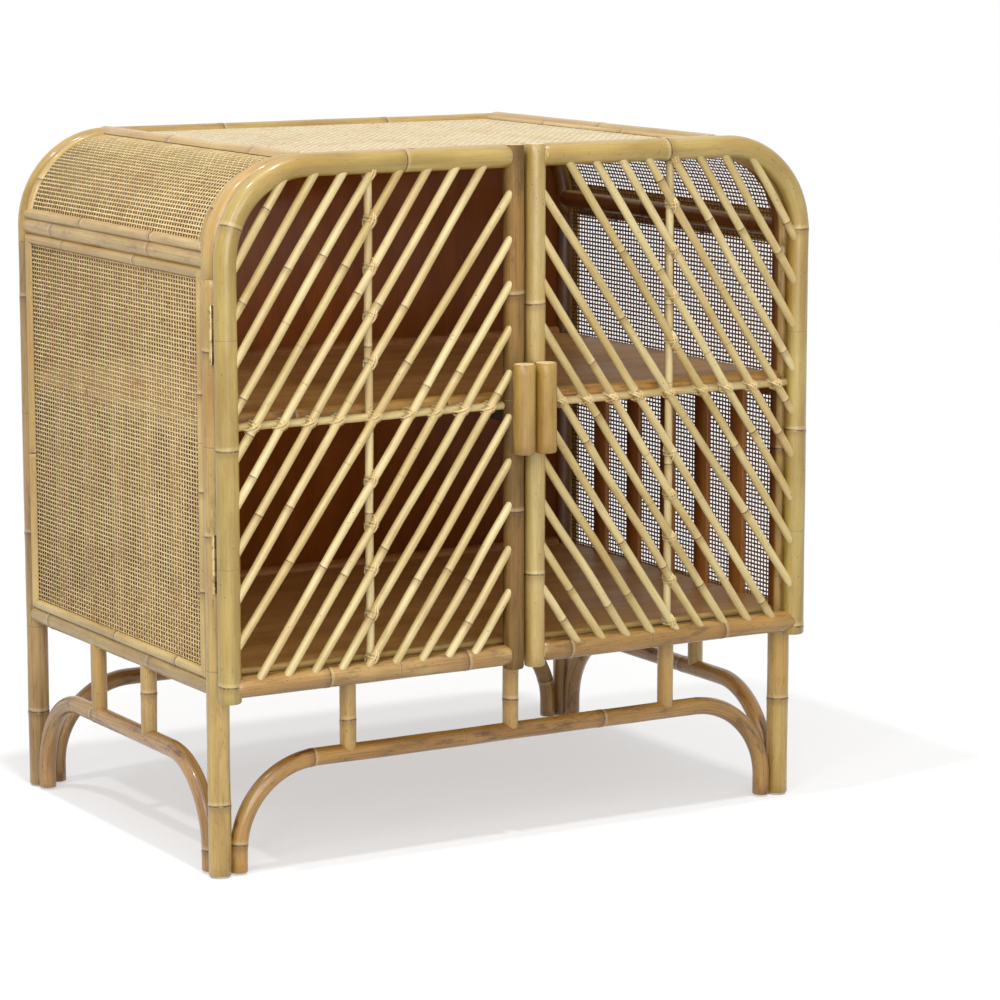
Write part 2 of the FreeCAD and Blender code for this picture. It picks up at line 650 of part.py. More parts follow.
def build_back():
    """The back panel: it fills the rear hoop between posts and bottom rail."""
    node = "back_panel"
    outline = sketch_on(f"{node}_outline", "X", 0, f"{REAR} + back_thick / 2")
    inset = "(post_dia / 2 + small_gap)"
    low = "(bottom_rail_height + bottom_rail_dia / 2)"
    arch_edges(outline, f"case_width - 2 * {inset}", low, f"hoop_height - {inset}",
               f"corner_radius - {inset}")
    half, foot = number(f"{HALF_WIDTH} - {inset}"), number(low)
    outline.addGeometry(line(half, foot, -half, foot), False)
    outline.addConstraint(Sketcher.Constraint("Coincident", 5, 1, 4, 2))
    outline.addConstraint(Sketcher.Constraint("Coincident", 5, 2, 0, 1))
    chords(outline, 1)
    chords(outline, 3)
    panel = DOC.addObject("Part::Extrusion", node)
    panel.Base = outline
    panel.DirMode = "Normal"
    panel.Solid = True
    bind(panel, LengthFwd="back_thick")
    keep(node, panel)


def build_floor_and_shelf():
    """Floor, shelf, the pole along the shelf's front edge and the bearers under its ends."""
    all_posts = posts_at("front") + posts_at("rear")
    width = f"2 * ({HALF_WIDTH} + web_offset)"
    depth = f"{BACK_FACE} - {FRONT}"
    middle_y = f"({BACK_FACE} + {FRONT}) / 2"
    floor = block("floor_sheet", (width, depth, "floor_thick"),
                  (0, middle_y, f"{FLOOR_TOP} - floor_thick / 2"))
    keep("floor_panel", cut("floor_panel", floor, all_posts))
    pole = prism("shelf_pole_blank", "X", "shelf_pole_dia", "pole_sides", "case_width",
                 (f"-{HALF_WIDTH}", FRONT, "shelf_pole_height"))
    keep("shelf_front_pole", cut("shelf_front_pole", pole, posts_at("front")))
    shelf = block("shelf_sheet", (width, depth, "shelf_thick"),
                  (0, middle_y, f"{SHELF_TOP} - shelf_thick / 2"))
    keep("shelf_panel", cut("shelf_panel", shelf, all_posts + [PIECES["shelf_front_pole"]]))
    bearers = [block(f"bearer_{side}", ("bearer_width", "case_depth", "bearer_height"),
                     (f"{sign} * ({HALF_WIDTH} + web_offset - bearer_width / 2)", "case_setback",
                      f"{SHELF_UNDER} - bearer_height / 2")) for side, sign in SIDES]
    keep("shelf_bearers", cut("shelf_bearers", group("bearer_blanks", bearers), all_posts))


def build_slats():
    """Upright slats inside the lower sides, from the floor to the bearers."""
    count = int(number("slat_count"))
    length = f"({SHELF_UNDER} - bearer_height - {FLOOR_TOP})"
    slats = [block(f"slat_{side}_{step}", ("slat_thick", "slat_width", length),
                   (f"{sign} * ({HALF_WIDTH} + web_offset - slat_thick / 2)",
                    f"case_setback + ({step} - (slat_count - 1) / 2) * slat_pitch",
                    f"{FLOOR_TOP} + {length} / 2"))
             for side, sign in SIDES for step in range(count)]
    keep("wall_slats", group("wall_slats", slats))


def build_inner_beading():
    """Quarter rounds along the back, and the half-round front edge of the floor."""
    turn = turned(UP, (0, -1, 0), (1, 0, 0))
    edge = "bottom_rail_height + bottom_rail_dia / 2 + floor_thick / 2"
    strips = []
    for name, angle, radius, y, z in (("floor", 90, "inner_bead", BACK_FACE, FLOOR_TOP),
                                      ("shelf", 90, "inner_bead", BACK_FACE, SHELF_TOP),
                                      ("edge", 180, "floor_thick / 2", FRONT, edge)):
        strip = DOC.addObject("Part::Cylinder", f"inner_bead_{name}")
        strip.Angle = angle
        strip.Placement.Rotation = turn
        bind(strip, Radius=radius, Height="case_width - post_dia")
        place(strip, f"-({HALF_WIDTH} - post_dia / 2)", y, z)
        strips.append(strip)
    keep("inner_beading", group("inner_beading", strips))


def build_catches():
    """A magnetic catch for each door, under the shelf and its pole."""
    top = "(shelf_pole_height - shelf_pole_dia / 2 - small_gap)"
    foot_front = f"({FRONT} + shelf_pole_dia / 2 + small_gap)"
    foot_rear = f"({CATCH_FACE} + catch_depth)"
    catches = []
    for side, sign in SIDES:
        x = f"{sign} * {INNER_STILE}"
        magnet = block(f"magnet_{side}", ("catch_width", "catch_depth", "catch_height"),
                       (x, f"{CATCH_FACE} + catch_depth / 2", f"{top} - catch_height / 2"))
        foot = block(f"magnet_foot_{side}", ("catch_width", f"{foot_rear} - {foot_front}",
                                             f"{SHELF_UNDER} - {top}"),
                     (x, f"({foot_rear} + {foot_front}) / 2", f"({SHELF_UNDER} + {top}) / 2"))
        catches.append(fuse(f"catch_{side}", [magnet, foot]))
    keep("door_catches", group("door_catches", catches))


# ---- hinges ------------------------------------------------------------------------------------


def knuckle(name, sign, height, index, gap):
    """One knuckle of a hinge."""
    cell = "(hinge_length / knuckle_count)"
    return prism(name, "Z", "knuckle_dia", "small_sides", f"{cell} - {gap}",
                 (f"{sign} * {HINGE_X}", HINGE_Y,
                  f"{height} - hinge_length / 2 + {index} * {cell} + {gap} / 2"))


def hinge_leaf(name, sign, facing, height, plate):
    """A leaf with its own knuckles, bored for the pin and cut away round the other leaf's."""
    turns = range(int(number("knuckle_count")))
    own = [index for index in turns if (index % 2 == 0) == (facing > 0)]
    other = [index for index in turns if index not in own]
    cell = "(hinge_length / knuckle_count)"
    reach = "(knuckle_dia + 2 * sweep_clearance)"
    barrels = [knuckle(f"{name}_knuckle_{index}", sign, height, index, "knuckle_gap")
               for index in own]
    rooms = [block(f"{name}_room_{index}", (reach, reach, cell),
                   (f"{sign} * {HINGE_X}", HINGE_Y,
                    f"{height} + ({index} - (knuckle_count - 1) / 2) * {cell}"))
             for index in other]
    hole = "(pin_dia + 2 * pin_clearance) / cos(180 / small_sides)"
    bore = prism(f"{name}_bore", "Z", hole, "small_sides", "hinge_length",
                 (f"{sign} * {HINGE_X}", HINGE_Y, f"{height} - hinge_length / 2"))
    return cut(name, fuse(f"{name}_blank", [plate] + barrels), rooms + [bore])


def build_hinges(plates):
    """Case leaves and pins; the doors' leaves belong to the doors."""
    case_leaves = []
    pins = []
    for side, sign in SIDES:
        door_leaves = []
        for level, height in hinge_heights():
            tag = f"{side}_{level}"
            case_leaves.append(hinge_leaf(f"leaf_case_{tag}", sign, 1, height,
                                          plates[side, 1, level]))
            door_leaves.append(hinge_leaf(f"leaf_door_{tag}", sign, -1, height,
                                          plates[side, -1, level]))
            x = f"{sign} * {HINGE_X}"
            stem = bar(f"pin_stem_{tag}", "Z", "pin_dia", "hinge_length - knuckle_gap",
                       (x, HINGE_Y, f"{height} - hinge_length / 2 + knuckle_gap / 2"))
            head = prism(f"pin_head_{tag}", "Z", "pin_head_dia", "small_sides",
                         "pin_head_thick",
                         (x, HINGE_Y, f"{height} + hinge_length / 2 - knuckle_gap / 2"))
            pins.append(fuse(f"pin_{tag}", [stem, head]))
        keep(f"hinge_leaves_{side}_door", group(f"hinge_leaves_{side}_door", door_leaves))
    keep("hinge_leaves_case", group("hinge_leaves_case", case_leaves))
    keep("hinge_pins", group("hinge_pins", pins))


# ---- the doors ---------------------------------------------------------------------------------


def crook(name, sign):
    """A door's outer stile and top rail, bent from one pole; it runs in to the inner stile."""
    foot, top, bend, reach = DOOR_FOOT, DOOR_TOP, "corner_radius", f"({DOOR_SPAN} - cope_reach)"
    low, high, radius, end = (number(text) for text in (foot, top, bend, reach))
    x = f"{sign} * {HALF_WIDTH}"
    path = sketch_on(f"{name}_path", "X" if sign < 0 else "-X", x, DOOR_PLANE)
    path.addGeometry(line(0, low, 0, high - radius), False)
    path.addGeometry(corner_arc(radius, high - radius, radius, 90, 180), False)
    path.addGeometry(line(radius, high, end, high), False)
    path.addConstraint(Sketcher.Constraint("Tangent", 0, 2, 1, 2))
    path.addConstraint(Sketcher.Constraint("Tangent", 1, 1, 2, 1))
    path.addConstraint(Sketcher.Constraint("PointOnObject", 0, 1, -2))
    path.addConstraint(Sketcher.Constraint("Vertical", 0))
    path.addConstraint(Sketcher.Constraint("Horizontal", 2))
    drive(path, "Radius", 1, size=bend)
    drive(path, "DistanceY", -1, 1, 0, 1, size=foot)
    drive(path, "DistanceY", -1, 1, 2, 1, size=top)
    drive(path, "DistanceX", -1, 1, 2, 2, size=reach)
    chords(path, 1)
    return sweep_pole(f"{name}_pole", path, "door_pole_dia", (x, DOOR_PLANE, foot), "pole_sides")


def cane_ends(sign):
    """The two ends (x, z) of each cane, on the centre lines of the poles that carry it.

    The canes rise towards the inner stile.  Those from the bottom rail end on the inner stile;
    the lowest on the outer stile ends at the top of the inner stile, the rest on the top rail.
    """
    inner_count, outer_count = int(number("canes_inner")), int(number("canes_outer"))
    low, high = inner_count - 1, outer_count - 1

    def across(distance):
        return f"{sign} * ({HALF_WIDTH} - {distance})"

    def on_inner(index):
        return (across(DOOR_SPAN), spaced("door_bottom_height + inner_first_rise",
                                          f"{DOOR_TOP} - inner_last_drop", "canes_inner", index))

    def on_outer(index):
        return (across(0), spaced("door_bottom_height + outer_first_rise",
                                  f"{DOOR_TOP} - outer_last_drop", "canes_outer", index))

    def on_bottom(index):
        return (across(spaced("bottom_first", f"{DOOR_SPAN} - bottom_last", "(canes_inner - 1)",
                              index)), "door_bottom_height")

    def on_top(index):
        return (across(spaced("top_first", f"{DOOR_SPAN} - top_last", "(canes_outer - 1)",
                              index)), DOOR_TOP)

    from_bottom = [(on_bottom(index), on_inner(low - 1 - index)) for index in range(low)]
    corner = [(on_outer(0), on_inner(low))]
    to_top = [(on_outer(index), on_top(high - index)) for index in range(1, outer_count)]
    return from_bottom + corner + to_top


def seat(name, axis, diameter, length, start, lean):
    """A square bar to pare canes by: one of its faces touches a pole in line with their middles.

    lean is 1 or -1: which way the face is turned from square to the door.
    """
    square = prism(f"{name}_square", "Z", f"{diameter} * sqrt(2)", "4", length, (0, 0, 0))
    square.Placement.Rotation = FreeCAD.Rotation(FreeCAD.Vector(0, 0, 1), 45)
    square.setExpression("Placement.Rotation.Angle",
                         formula(f"45 deg + ({lean}) * asin(cane_dia / {diameter})"))
    laid = group(name, [square])
    laid.Placement.Rotation = LAY[axis]
    place(laid, *start)
    return laid


def cane_seats(side, sign):
    """The seats along the four poles that carry the canes of a door."""
    left_end = f"-{HALF_WIDTH}" if sign < 0 else INNER_STILE
    height = f"{DOOR_TOP} - {DOOR_FOOT}"
    uprights = (("outer", "door_pole_dia", f"{sign} * {HALF_WIDTH}", sign),
                ("inner", "stile_dia", f"{sign} * {INNER_STILE}", -sign))
    levels = (("bottom", "door_rail_dia", "door_bottom_height", 1),
              ("top", "door_pole_dia", DOOR_TOP, -1))
    return ([seat(f"seat_{name}_{side}", "Z", diameter, height, (x, DOOR_PLANE, DOOR_FOOT), lean)
             for name, diameter, x, lean in uprights]
            + [seat(f"seat_{name}_{side}", "X", diameter, DOOR_SPAN, (left_end, DOOR_PLANE, z), lean)
               for name, diameter, z, lean in levels])


def build_door(side, sign, plates):
    """One door: its frame, the cross members, the canes, the handle and the strike plate."""
    stile_x = f"{sign} * {INNER_STILE}"
    strike_z = "(shelf_pole_height - shelf_pole_dia / 2 - small_gap - catch_height / 2)"
    strike = block(f"strike_plate_{side}", ("strike_width", "strike_thick", "strike_height"),
                   (stile_x, f"{CATCH_FACE} - small_gap - strike_thick / 2", strike_z))
    keep(f"strike_plate_{side}", strike)
    stile_blank = bar(f"door_stile_{side}_pole", "Z", "stile_dia",
                      f"{DOOR_TOP} + door_pole_dia / 2 - {DOOR_FOOT}",
                      (stile_x, DOOR_PLANE, DOOR_FOOT))
    stile = keep(f"door_stile_{side}", cut(f"door_stile_{side}", stile_blank, [strike]))
    seats = [plates[side, -1, level] for level, _ in hinge_heights()]
    hoop = keep(f"door_hoop_{side}", cut(f"door_hoop_{side}", crook(f"door_hoop_{side}", sign),
                                         [stile_blank] + seats))
    rail_length = f"({DOOR_SPAN} - cope_reach)"
    rail_x = f"-{HALF_WIDTH}" if sign < 0 else f"{HALF_WIDTH} - {rail_length}"
    rail_blank = prism(f"door_rail_{side}_pole", "X", "door_rail_dia", "pole_sides", rail_length,
                       (rail_x, DOOR_PLANE, "door_bottom_height"))
    rail = keep(f"door_rail_{side}", cut(f"door_rail_{side}", rail_blank, [hoop, stile_blank]))
    frame = [hoop, stile_blank, rail]
    cross_y = f"{DOOR_PLANE} + cross_dia / 2"
    cross_x = f"-{HALF_WIDTH}" if sign < 0 else INNER_STILE
    crossbar_blank = prism(f"door_crossbar_{side}_cane", "X", "cross_dia", "small_sides",
                           DOOR_SPAN, (cross_x, cross_y, "crossbar_height"))
    crossbar = keep(f"door_crossbar_{side}", cut(f"door_crossbar_{side}", crossbar_blank, frame))
    upright = prism(f"door_upright_{side}_cane", "Z", "upright_dia", "small_sides",
                    f"{DOOR_TOP} - door_bottom_height",
                    (f"{sign} * ({HALF_WIDTH} - upright_distance)", cross_y,
                     "door_bottom_height"))
    keep(f"door_upright_{side}", cut(f"door_upright_{side}", upright, frame + [crossbar]))
    canes = [slanted_prism(f"cane_{side}_{index}", "cane_dia", "small_sides", foot, top,
                           f"{DOOR_PLANE} - cane_dia / 2")
             for index, (foot, top) in enumerate(cane_ends(sign), start=1)]
    keep(f"door_canes_{side}", cut(f"door_canes_{side}", group(f"canes_{side}", canes),
                                   cane_seats(side, sign) + [hoop]))
    grip = prism(f"handle_{side}_blank", "Z", "handle_dia", "pole_sides", "handle_length",
                 (stile_x, f"{DOOR_PLANE} - stile_dia / 2 - handle_dia / 2 + handle_seat",
                  "handle_height - handle_length / 2"))
    DOC.recompute()
    bevelled = DOC.addObject("Part::Chamfer", f"handle_{side}_bevelled")
    bevelled.Base = grip
    rims = [index for index, edge in enumerate(grip.Shape.Edges, start=1)
            if edge.tangentAt(edge.FirstParameter).z == 0]
    bevel = number("handle_chamfer")
    bevelled.Edges = [(index, bevel, bevel) for index in rims]
    keep(f"door_handle_{side}", cut(f"door_handle_{side}", bevelled, [stile_blank]))


# ---- making and checking -----------------------------------------------------------------------


def build():
    """Build the whole cabinet in the order in which its pieces fit each other."""
    fill_sheet()
    plates = build_plates()
    build_posts(plates)
    build_hoops()
    build_rails()
    build_leg_arches()
    build_spindles()
    build_webbing()
    for side, sign in SIDES:
        side_beading(side, sign)
    build_top_trim()
    build_back()
    build_floor_and_shelf()
    build_slats()
    build_inner_beading()
    build_catches()
    build_hinges(plates)
    for side, sign in SIDES:
        build_door(side, sign, plates)
    DOC.recompute()


def check():
    """Stop if any object failed or any piece is empty or unsound."""
    for thing in DOC.Objects:
        if {"Invalid", "Error"} & set(thing.State):
            raise SystemExit(f"{thing.Name} failed: {thing.State}")
    for node, thing in PIECES.items():
        if thing.Shape.isNull() or not thing.Shape.isValid() or not thing.Shape.Solids:
            raise SystemExit(f"{node} has no sound solid")


def write():
    """Write each piece to a file named after its node."""
    os.makedirs("parts", exist_ok=True)
    for node, thing in PIECES.items():
        thing.Shape.exportStep(f"parts/{node}.step")


build()
check()
write()
print(f"{len(PIECES)} nodes, {sum(len(thing.Shape.Solids) for thing in PIECES.values())} solids")
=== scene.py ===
"""The looks of a record cabinet: bent rattan pole, woven cane and two doors of slanting canes.

Lengths are in millimetres until a mesh is made, which turns them into metres.  X runs to the
right, Y to the back and Z up from the floor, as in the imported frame.
"""

from __future__ import annotations

import functools  # noqa: E402
import logging  # noqa: E402
import math  # noqa: E402
from collections.abc import Mapping, Sequence  # noqa: E402
from dataclasses import dataclass, field, replace  # noqa: E402
from enum import Enum  # noqa: E402

import bpy  # noqa: E402
import numpy as np  # noqa: E402
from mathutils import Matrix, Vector  # noqa: E402


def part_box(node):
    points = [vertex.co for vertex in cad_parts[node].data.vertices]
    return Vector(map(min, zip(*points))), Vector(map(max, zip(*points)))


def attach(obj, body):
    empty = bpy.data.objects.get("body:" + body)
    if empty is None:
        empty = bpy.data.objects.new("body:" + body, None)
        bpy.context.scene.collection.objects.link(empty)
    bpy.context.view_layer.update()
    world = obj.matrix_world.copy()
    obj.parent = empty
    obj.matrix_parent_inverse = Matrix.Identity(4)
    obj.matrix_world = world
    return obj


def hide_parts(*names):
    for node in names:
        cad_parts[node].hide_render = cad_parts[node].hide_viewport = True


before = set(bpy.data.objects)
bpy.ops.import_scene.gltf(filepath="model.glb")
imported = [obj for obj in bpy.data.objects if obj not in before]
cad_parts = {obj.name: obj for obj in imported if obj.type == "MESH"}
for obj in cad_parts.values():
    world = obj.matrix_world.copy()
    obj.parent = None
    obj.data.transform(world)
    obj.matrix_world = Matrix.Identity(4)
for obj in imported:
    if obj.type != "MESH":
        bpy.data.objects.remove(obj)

LOG = logging.getLogger("record_cabinet")
MM = 0.001
SEED = 11
FAR_RING = 40.0
X, Y, Z = np.eye(3)
SIDES = (("left", -1), ("right", 1))

Rgb = tuple[int, int, int]
Point = Sequence[float]
Socket = bpy.types.NodeSocket
Value = Socket | float | Sequence[float]
Ring = tuple[str, float]


class Body(Enum):
    """The bodies that pieces ride on."""

    CABINET = "cabinet"
    LEFT_DOOR = "left_door"
    RIGHT_DOOR = "right_door"


DOOR_BODY = {"left": Body.LEFT_DOOR, "right": Body.RIGHT_DOOR}


@dataclass(frozen=True)
class Room:
    """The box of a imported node, in millimetres."""

    low: np.ndarray
    high: np.ndarray

    @property
    def middle(self) -> np.ndarray:
        """The centre of the box."""
        return (self.low + self.high) / 2

    @property
    def size(self) -> np.ndarray:
        """The lengths of the box."""
        return self.high - self.low


def room(node: str) -> Room:
    """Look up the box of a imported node.

    Args:
        node: The node's name.

    Returns:
        Its box in millimetres.
    """
    low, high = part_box(node)
    return Room(np.array(low) / MM, np.array(high) / MM)


# ---- node trees ----


class Graph:
    """Writes nodes and links into a node tree."""

    def __init__(self, tree: bpy.types.NodeTree) -> None:
        """Take the tree to write into."""
        self.tree = tree

    def add(self, kind: str, inputs: Mapping | None = None,
            **settings: object) -> bpy.types.Node:
        """Add a node.

        Args:
            kind: Blender's name for the kind of node.
            inputs: Values or sockets, by the input's name or number.
            settings: Properties of the node.

        Returns:
            The new node.
        """
        node = self.tree.nodes.new(kind)
        for name, value in settings.items():
            setattr(node, name, value)
        for key, value in (inputs or {}).items():
            if isinstance(value, Socket):
                self.tree.links.new(value, node.inputs[key])
            else:
                node.inputs[key].default_value = value
        return node

    def first(self, kind: str, inputs: Mapping | None = None, **settings: object) -> Socket:
        """Add a node and give its first output."""
        return self.add(kind, inputs, **settings).outputs[0]

    def math(self, operation: str, first: Value, second: Value = 0.0, third: Value = 0.0,
             clamp: bool = False) -> Socket:
        """Add a sum of numbers, of any kind of operation."""
        return self.first("ShaderNodeMath", {0: first, 1: second, 2: third},
                          operation=operation, use_clamp=clamp)

    def times(self, first: Value, second: Value) -> Socket:
        """Multiply two numbers."""
        return self.math("MULTIPLY", first, second)

    def vector(self, operation: str, first: Value, second: Value = (0, 0, 0)) -> Socket:
        """Add a sum of two vectors."""
        return self.first("ShaderNodeVectorMath", {0: first, 1: second}, operation=operation)

    def stretched(self, vector: Value, scale: Value) -> Socket:
        """Scale a vector by a number for each axis."""
        return self.vector("MULTIPLY", vector, scale)

    def xyz(self, x: Value = 0.0, y: Value = 0.0, z: Value = 0.0) -> Socket:
        """Make a vector from three numbers."""
        return self.first("ShaderNodeCombineXYZ", {0: x, 1: y, 2: z})

    def part(self, vector: Value, axis: int) -> Socket:
        """Give one number of a vector."""
        return self.add("ShaderNodeSeparateXYZ", {0: vector}).outputs[axis]

    def place(self) -> Socket:
        """Give the place on the object."""
        return self.add("ShaderNodeTexCoord").outputs["Object"]

    def mark(self, name: str, output: str = "Fac") -> Socket:
        """Read an attribute of the mesh."""
        return self.add("ShaderNodeAttribute", attribute_name=name).outputs[output]

    def group(self, tree: bpy.types.NodeTree, inputs: Mapping) -> Mapping[str, Socket]:
        """Place a shader group and give its outputs."""
        return self.add("ShaderNodeGroup", inputs, node_tree=tree).outputs

    def blend(self, share: Value, first: Value, second: Value, kind: str = "MIX") -> Socket:
        """Mix two colours by a share."""
        return self.add("ShaderNodeMix", {0: share, 6: first, 7: second}, data_type="RGBA",
                        blend_type=kind).outputs[2]

    def ramp(self, value: Value, low: float, high: float, start: Value = 0.0,
             end: Value = 1.0) -> Socket:
        """Stretch a span of values to another one, smoothly, and clamp it there."""
        return self.add("ShaderNodeMapRange", {"Value": value, "From Min": low, "From Max": high,
                                               "To Min": start, "To Max": end},
                        interpolation_type="SMOOTHSTEP").outputs["Result"]

    def noise(self, vector: Value, scale: float, detail: float = 2.0,
              rough: float = 0.5) -> Socket:
        """Add a noise and give its value."""
        return self.first("ShaderNodeTexNoise", {"Vector": vector, "Scale": scale,
                                                 "Detail": detail, "Roughness": rough})

    def store(self, shape: Value, name: str, value: Value, kind: str = "FLOAT",
              domain: str = "POINT") -> Socket:
        """Store an attribute on a geometry."""
        return self.first("GeometryNodeStoreNamedAttribute",
                          {"Geometry": shape, "Name": name, "Value": value}, data_type=kind,
                          domain=domain)

    def chance(self, inputs: Mapping) -> Socket:
        """Draw a random number for each element."""
        return self.add("FunctionNodeRandomValue", inputs, data_type="FLOAT").outputs[1]

    def section(self, sides: int, width: Socket, height: Socket) -> Socket:
        """Make the flattened cross-section of a strand."""
        circle = self.first("GeometryNodeCurvePrimitiveCircle",
                            {"Resolution": sides, "Radius": 0.5}, mode="RADIUS")
        return self.first("GeometryNodeTransform",
                          {"Geometry": circle, "Scale": self.xyz(width, height, 1.0)})

    def dressed(self, shape: Value, material: Socket) -> Mapping[str, Socket]:
        """Make instances real and give the geometry its material."""
        whole = self.first("GeometryNodeRealizeInstances", {"Geometry": shape})
        return {"Geometry": self.first("GeometryNodeSetMaterial",
                                       {"Geometry": whole, "Material": material})}


FLOAT, VECTOR = "NodeSocketFloat", "NodeSocketVector"
INTEGER, GEOMETRY, MATERIAL = "NodeSocketInt", "NodeSocketGeometry", "NodeSocketMaterial"


def new_group(name: str, kind: str, inputs: Mapping,
              outputs: Mapping) -> tuple[Graph, Mapping[str, Socket], bpy.types.Node]:
    """Start a node group with named inputs and outputs.

    Args:
        name: Name of the group.
        kind: Blender's name for the kind of tree.
        inputs: Socket type and default value, by name.
        outputs: Socket type, by name.

    Returns:
        A graph to write into, the inputs' sockets by name, and the output node.
    """
    tree = bpy.data.node_groups.new(name, kind)
    for label, (socket, default) in inputs.items():
        made = tree.interface.new_socket(label, in_out="INPUT", socket_type=socket)
        if default is not None:
            made.default_value = default
    for label, socket in outputs.items():
        tree.interface.new_socket(label, in_out="OUTPUT", socket_type=socket)
    graph = Graph(tree)
    return graph, graph.add("NodeGroupInput").outputs, graph.add("NodeGroupOutput")


def finish_group(graph: Graph, end: bpy.types.Node,
                 results: Mapping[str, Socket]) -> bpy.types.NodeTree:
    """Link the results of a group to its outputs.

    Args:
        graph: What the group was written with.
        end: Its output node.
        results: Its results, by the outputs' names.

    Returns:
        The group's tree.
    """
    for label, socket in results.items():
        graph.tree.links.new(socket, end.inputs[label])
    return graph.tree


# ---- surface effects ----


@functools.cache
def fibre_grain() -> bpy.types.NodeTree:
    """Fibres of rattan along Z of the grain: streaks, flecks, blotches, broad tones, a height.

    Returns:
        The shader group.
    """
    graph, take, end = new_group(
        "fibre_grain", "ShaderNodeTree", {"Grain": (VECTOR, None), "Fineness": (FLOAT, 1.0)},
        {"Streak": FLOAT, "Broad": FLOAT, "Blotch": FLOAT, "Wash": FLOAT, "Fleck": FLOAT,
         "Height": FLOAT})
    fibres_across, fibres_along = 520.0, 11.0
    across = graph.times(take["Fineness"], fibres_across)
    fibres = graph.stretched(take["Grain"], graph.xyz(across, across, fibres_along))
    fine = graph.noise(graph.stretched(fibres, (2.6, 2.6, 2.0)), 1.0, 3.0, 0.65)
    streak = graph.ramp(graph.noise(fibres, 1.0, 3.0, 0.6), 0.42, 0.74)
    ridges, sunken_streaks = 0.7, -0.3
    height = graph.math("ADD", graph.times(fine, ridges), graph.times(streak, sunken_streaks))
    results = {"Streak": streak, "Height": height}
    for label, scale, detail, rough, low, high in (
            ("Broad", (38, 38, 7), 3.0, 0.5, 0.34, 0.66),
            ("Wash", (21, 21, 5), 2.0, 0.5, 0.44, 0.64),
            ("Blotch", (66, 66, 19), 4.0, 0.68, 0.51, 0.71),
            ("Fleck", (460, 460, 70), 3.0, 0.7, 0.6, 0.7)):
        spread = graph.noise(graph.stretched(take["Grain"], scale), 1.0, detail, rough)
        results[label] = graph.ramp(spread, low, high)
    return finish_group(graph, end, results)


@functools.cache
def growth_ring() -> bpy.types.NodeTree:
    """A growth ring by the distance from it in millimetres: a dark line, a pale lip, a shade.

    Returns:
        The shader group.
    """
    graph, take, end = new_group(
        "growth_ring", "ShaderNodeTree",
        {"Distance": (FLOAT, FAR_RING), "Grain": (VECTOR, None), "Width": (FLOAT, 1.0)},
        {"Line": FLOAT, "Lip": FLOAT, "Shade": FLOAT})
    raggedness = 1.6
    ragged = graph.noise(take["Grain"], 260.0, 2.0)
    centred = graph.math("SUBTRACT", take["Distance"], raggedness / 2)
    shifted = graph.math("MULTIPLY_ADD", ragged, raggedness, centred)
    away = graph.math("DIVIDE", graph.math("ABSOLUTE", shifted), take["Width"])
    line = graph.times(graph.ramp(away, 0.25, 1.0, 1.0, 0.0),
                       graph.ramp(ragged, 0.3, 0.55, 0.45, 1.0))
    lip = graph.times(graph.ramp(shifted, 0.2, 1.2), graph.ramp(shifted, 3.0, 7.5, 1, 0))
    shade = graph.times(graph.ramp(shifted, -0.2, -1.2), graph.ramp(shifted, -14.0, -2.0))
    return finish_group(graph, end, {"Line": line, "Lip": lip, "Shade": shade})


@functools.cache
def pin_specks() -> bpy.types.NodeTree:
    """Scattered small dark specks and pinholes.

    Returns:
        The shader group.
    """
    graph, take, end = new_group(
        "pin_specks", "ShaderNodeTree",
        {"Vector": (VECTOR, None), "Scale": (FLOAT, 160.0), "Size": (FLOAT, 0.12),
         "Share": (FLOAT, 0.1)},
        {"Mask": FLOAT})
    crispness = 14.0
    cells = graph.add("ShaderNodeTexVoronoi", {"Vector": take["Vector"], "Scale": take["Scale"]})
    lot = graph.first("ShaderNodeSeparateColor", {0: cells.outputs["Color"]})
    chosen = graph.math("LESS_THAN", lot, take["Share"])
    edge = graph.math("SUBTRACT", take["Size"], cells.outputs["Distance"])
    spot = graph.math("MULTIPLY", edge, crispness, clamp=True)
    return finish_group(graph, end, {"Mask": graph.times(chosen, spot)})


@functools.cache
def board_grain() -> bpy.types.NodeTree:
    """Veneer grain along X of the vector: figure, pores and a height.

    Returns:
        The shader group.
    """
    graph, take, end = new_group("board_grain", "ShaderNodeTree", {"Vector": (VECTOR, None)},
                                 {"Figure": FLOAT, "Pores": FLOAT, "Height": FLOAT})
    bending = graph.add("ShaderNodeTexNoise", {"Vector": take["Vector"], "Scale": 5.0,
                                               "Detail": 2.0}).outputs["Color"]
    bent = graph.vector("ADD", graph.stretched(take["Vector"], (1.6, 22.0, 22.0)),
                        graph.stretched(bending, (1.2, 1.2, 1.2)))
    figure = graph.noise(bent, 1.0, 4.0, 0.62)
    fine = graph.noise(graph.stretched(take["Vector"], (36, 900, 900)), 1.0, 2.0)
    pores = graph.ramp(fine, 0.58, 0.72)
    return finish_group(graph, end, {
        "Figure": graph.ramp(figure, 0.3, 0.7), "Pores": pores,
        "Height": graph.times(pores, -1.0)})


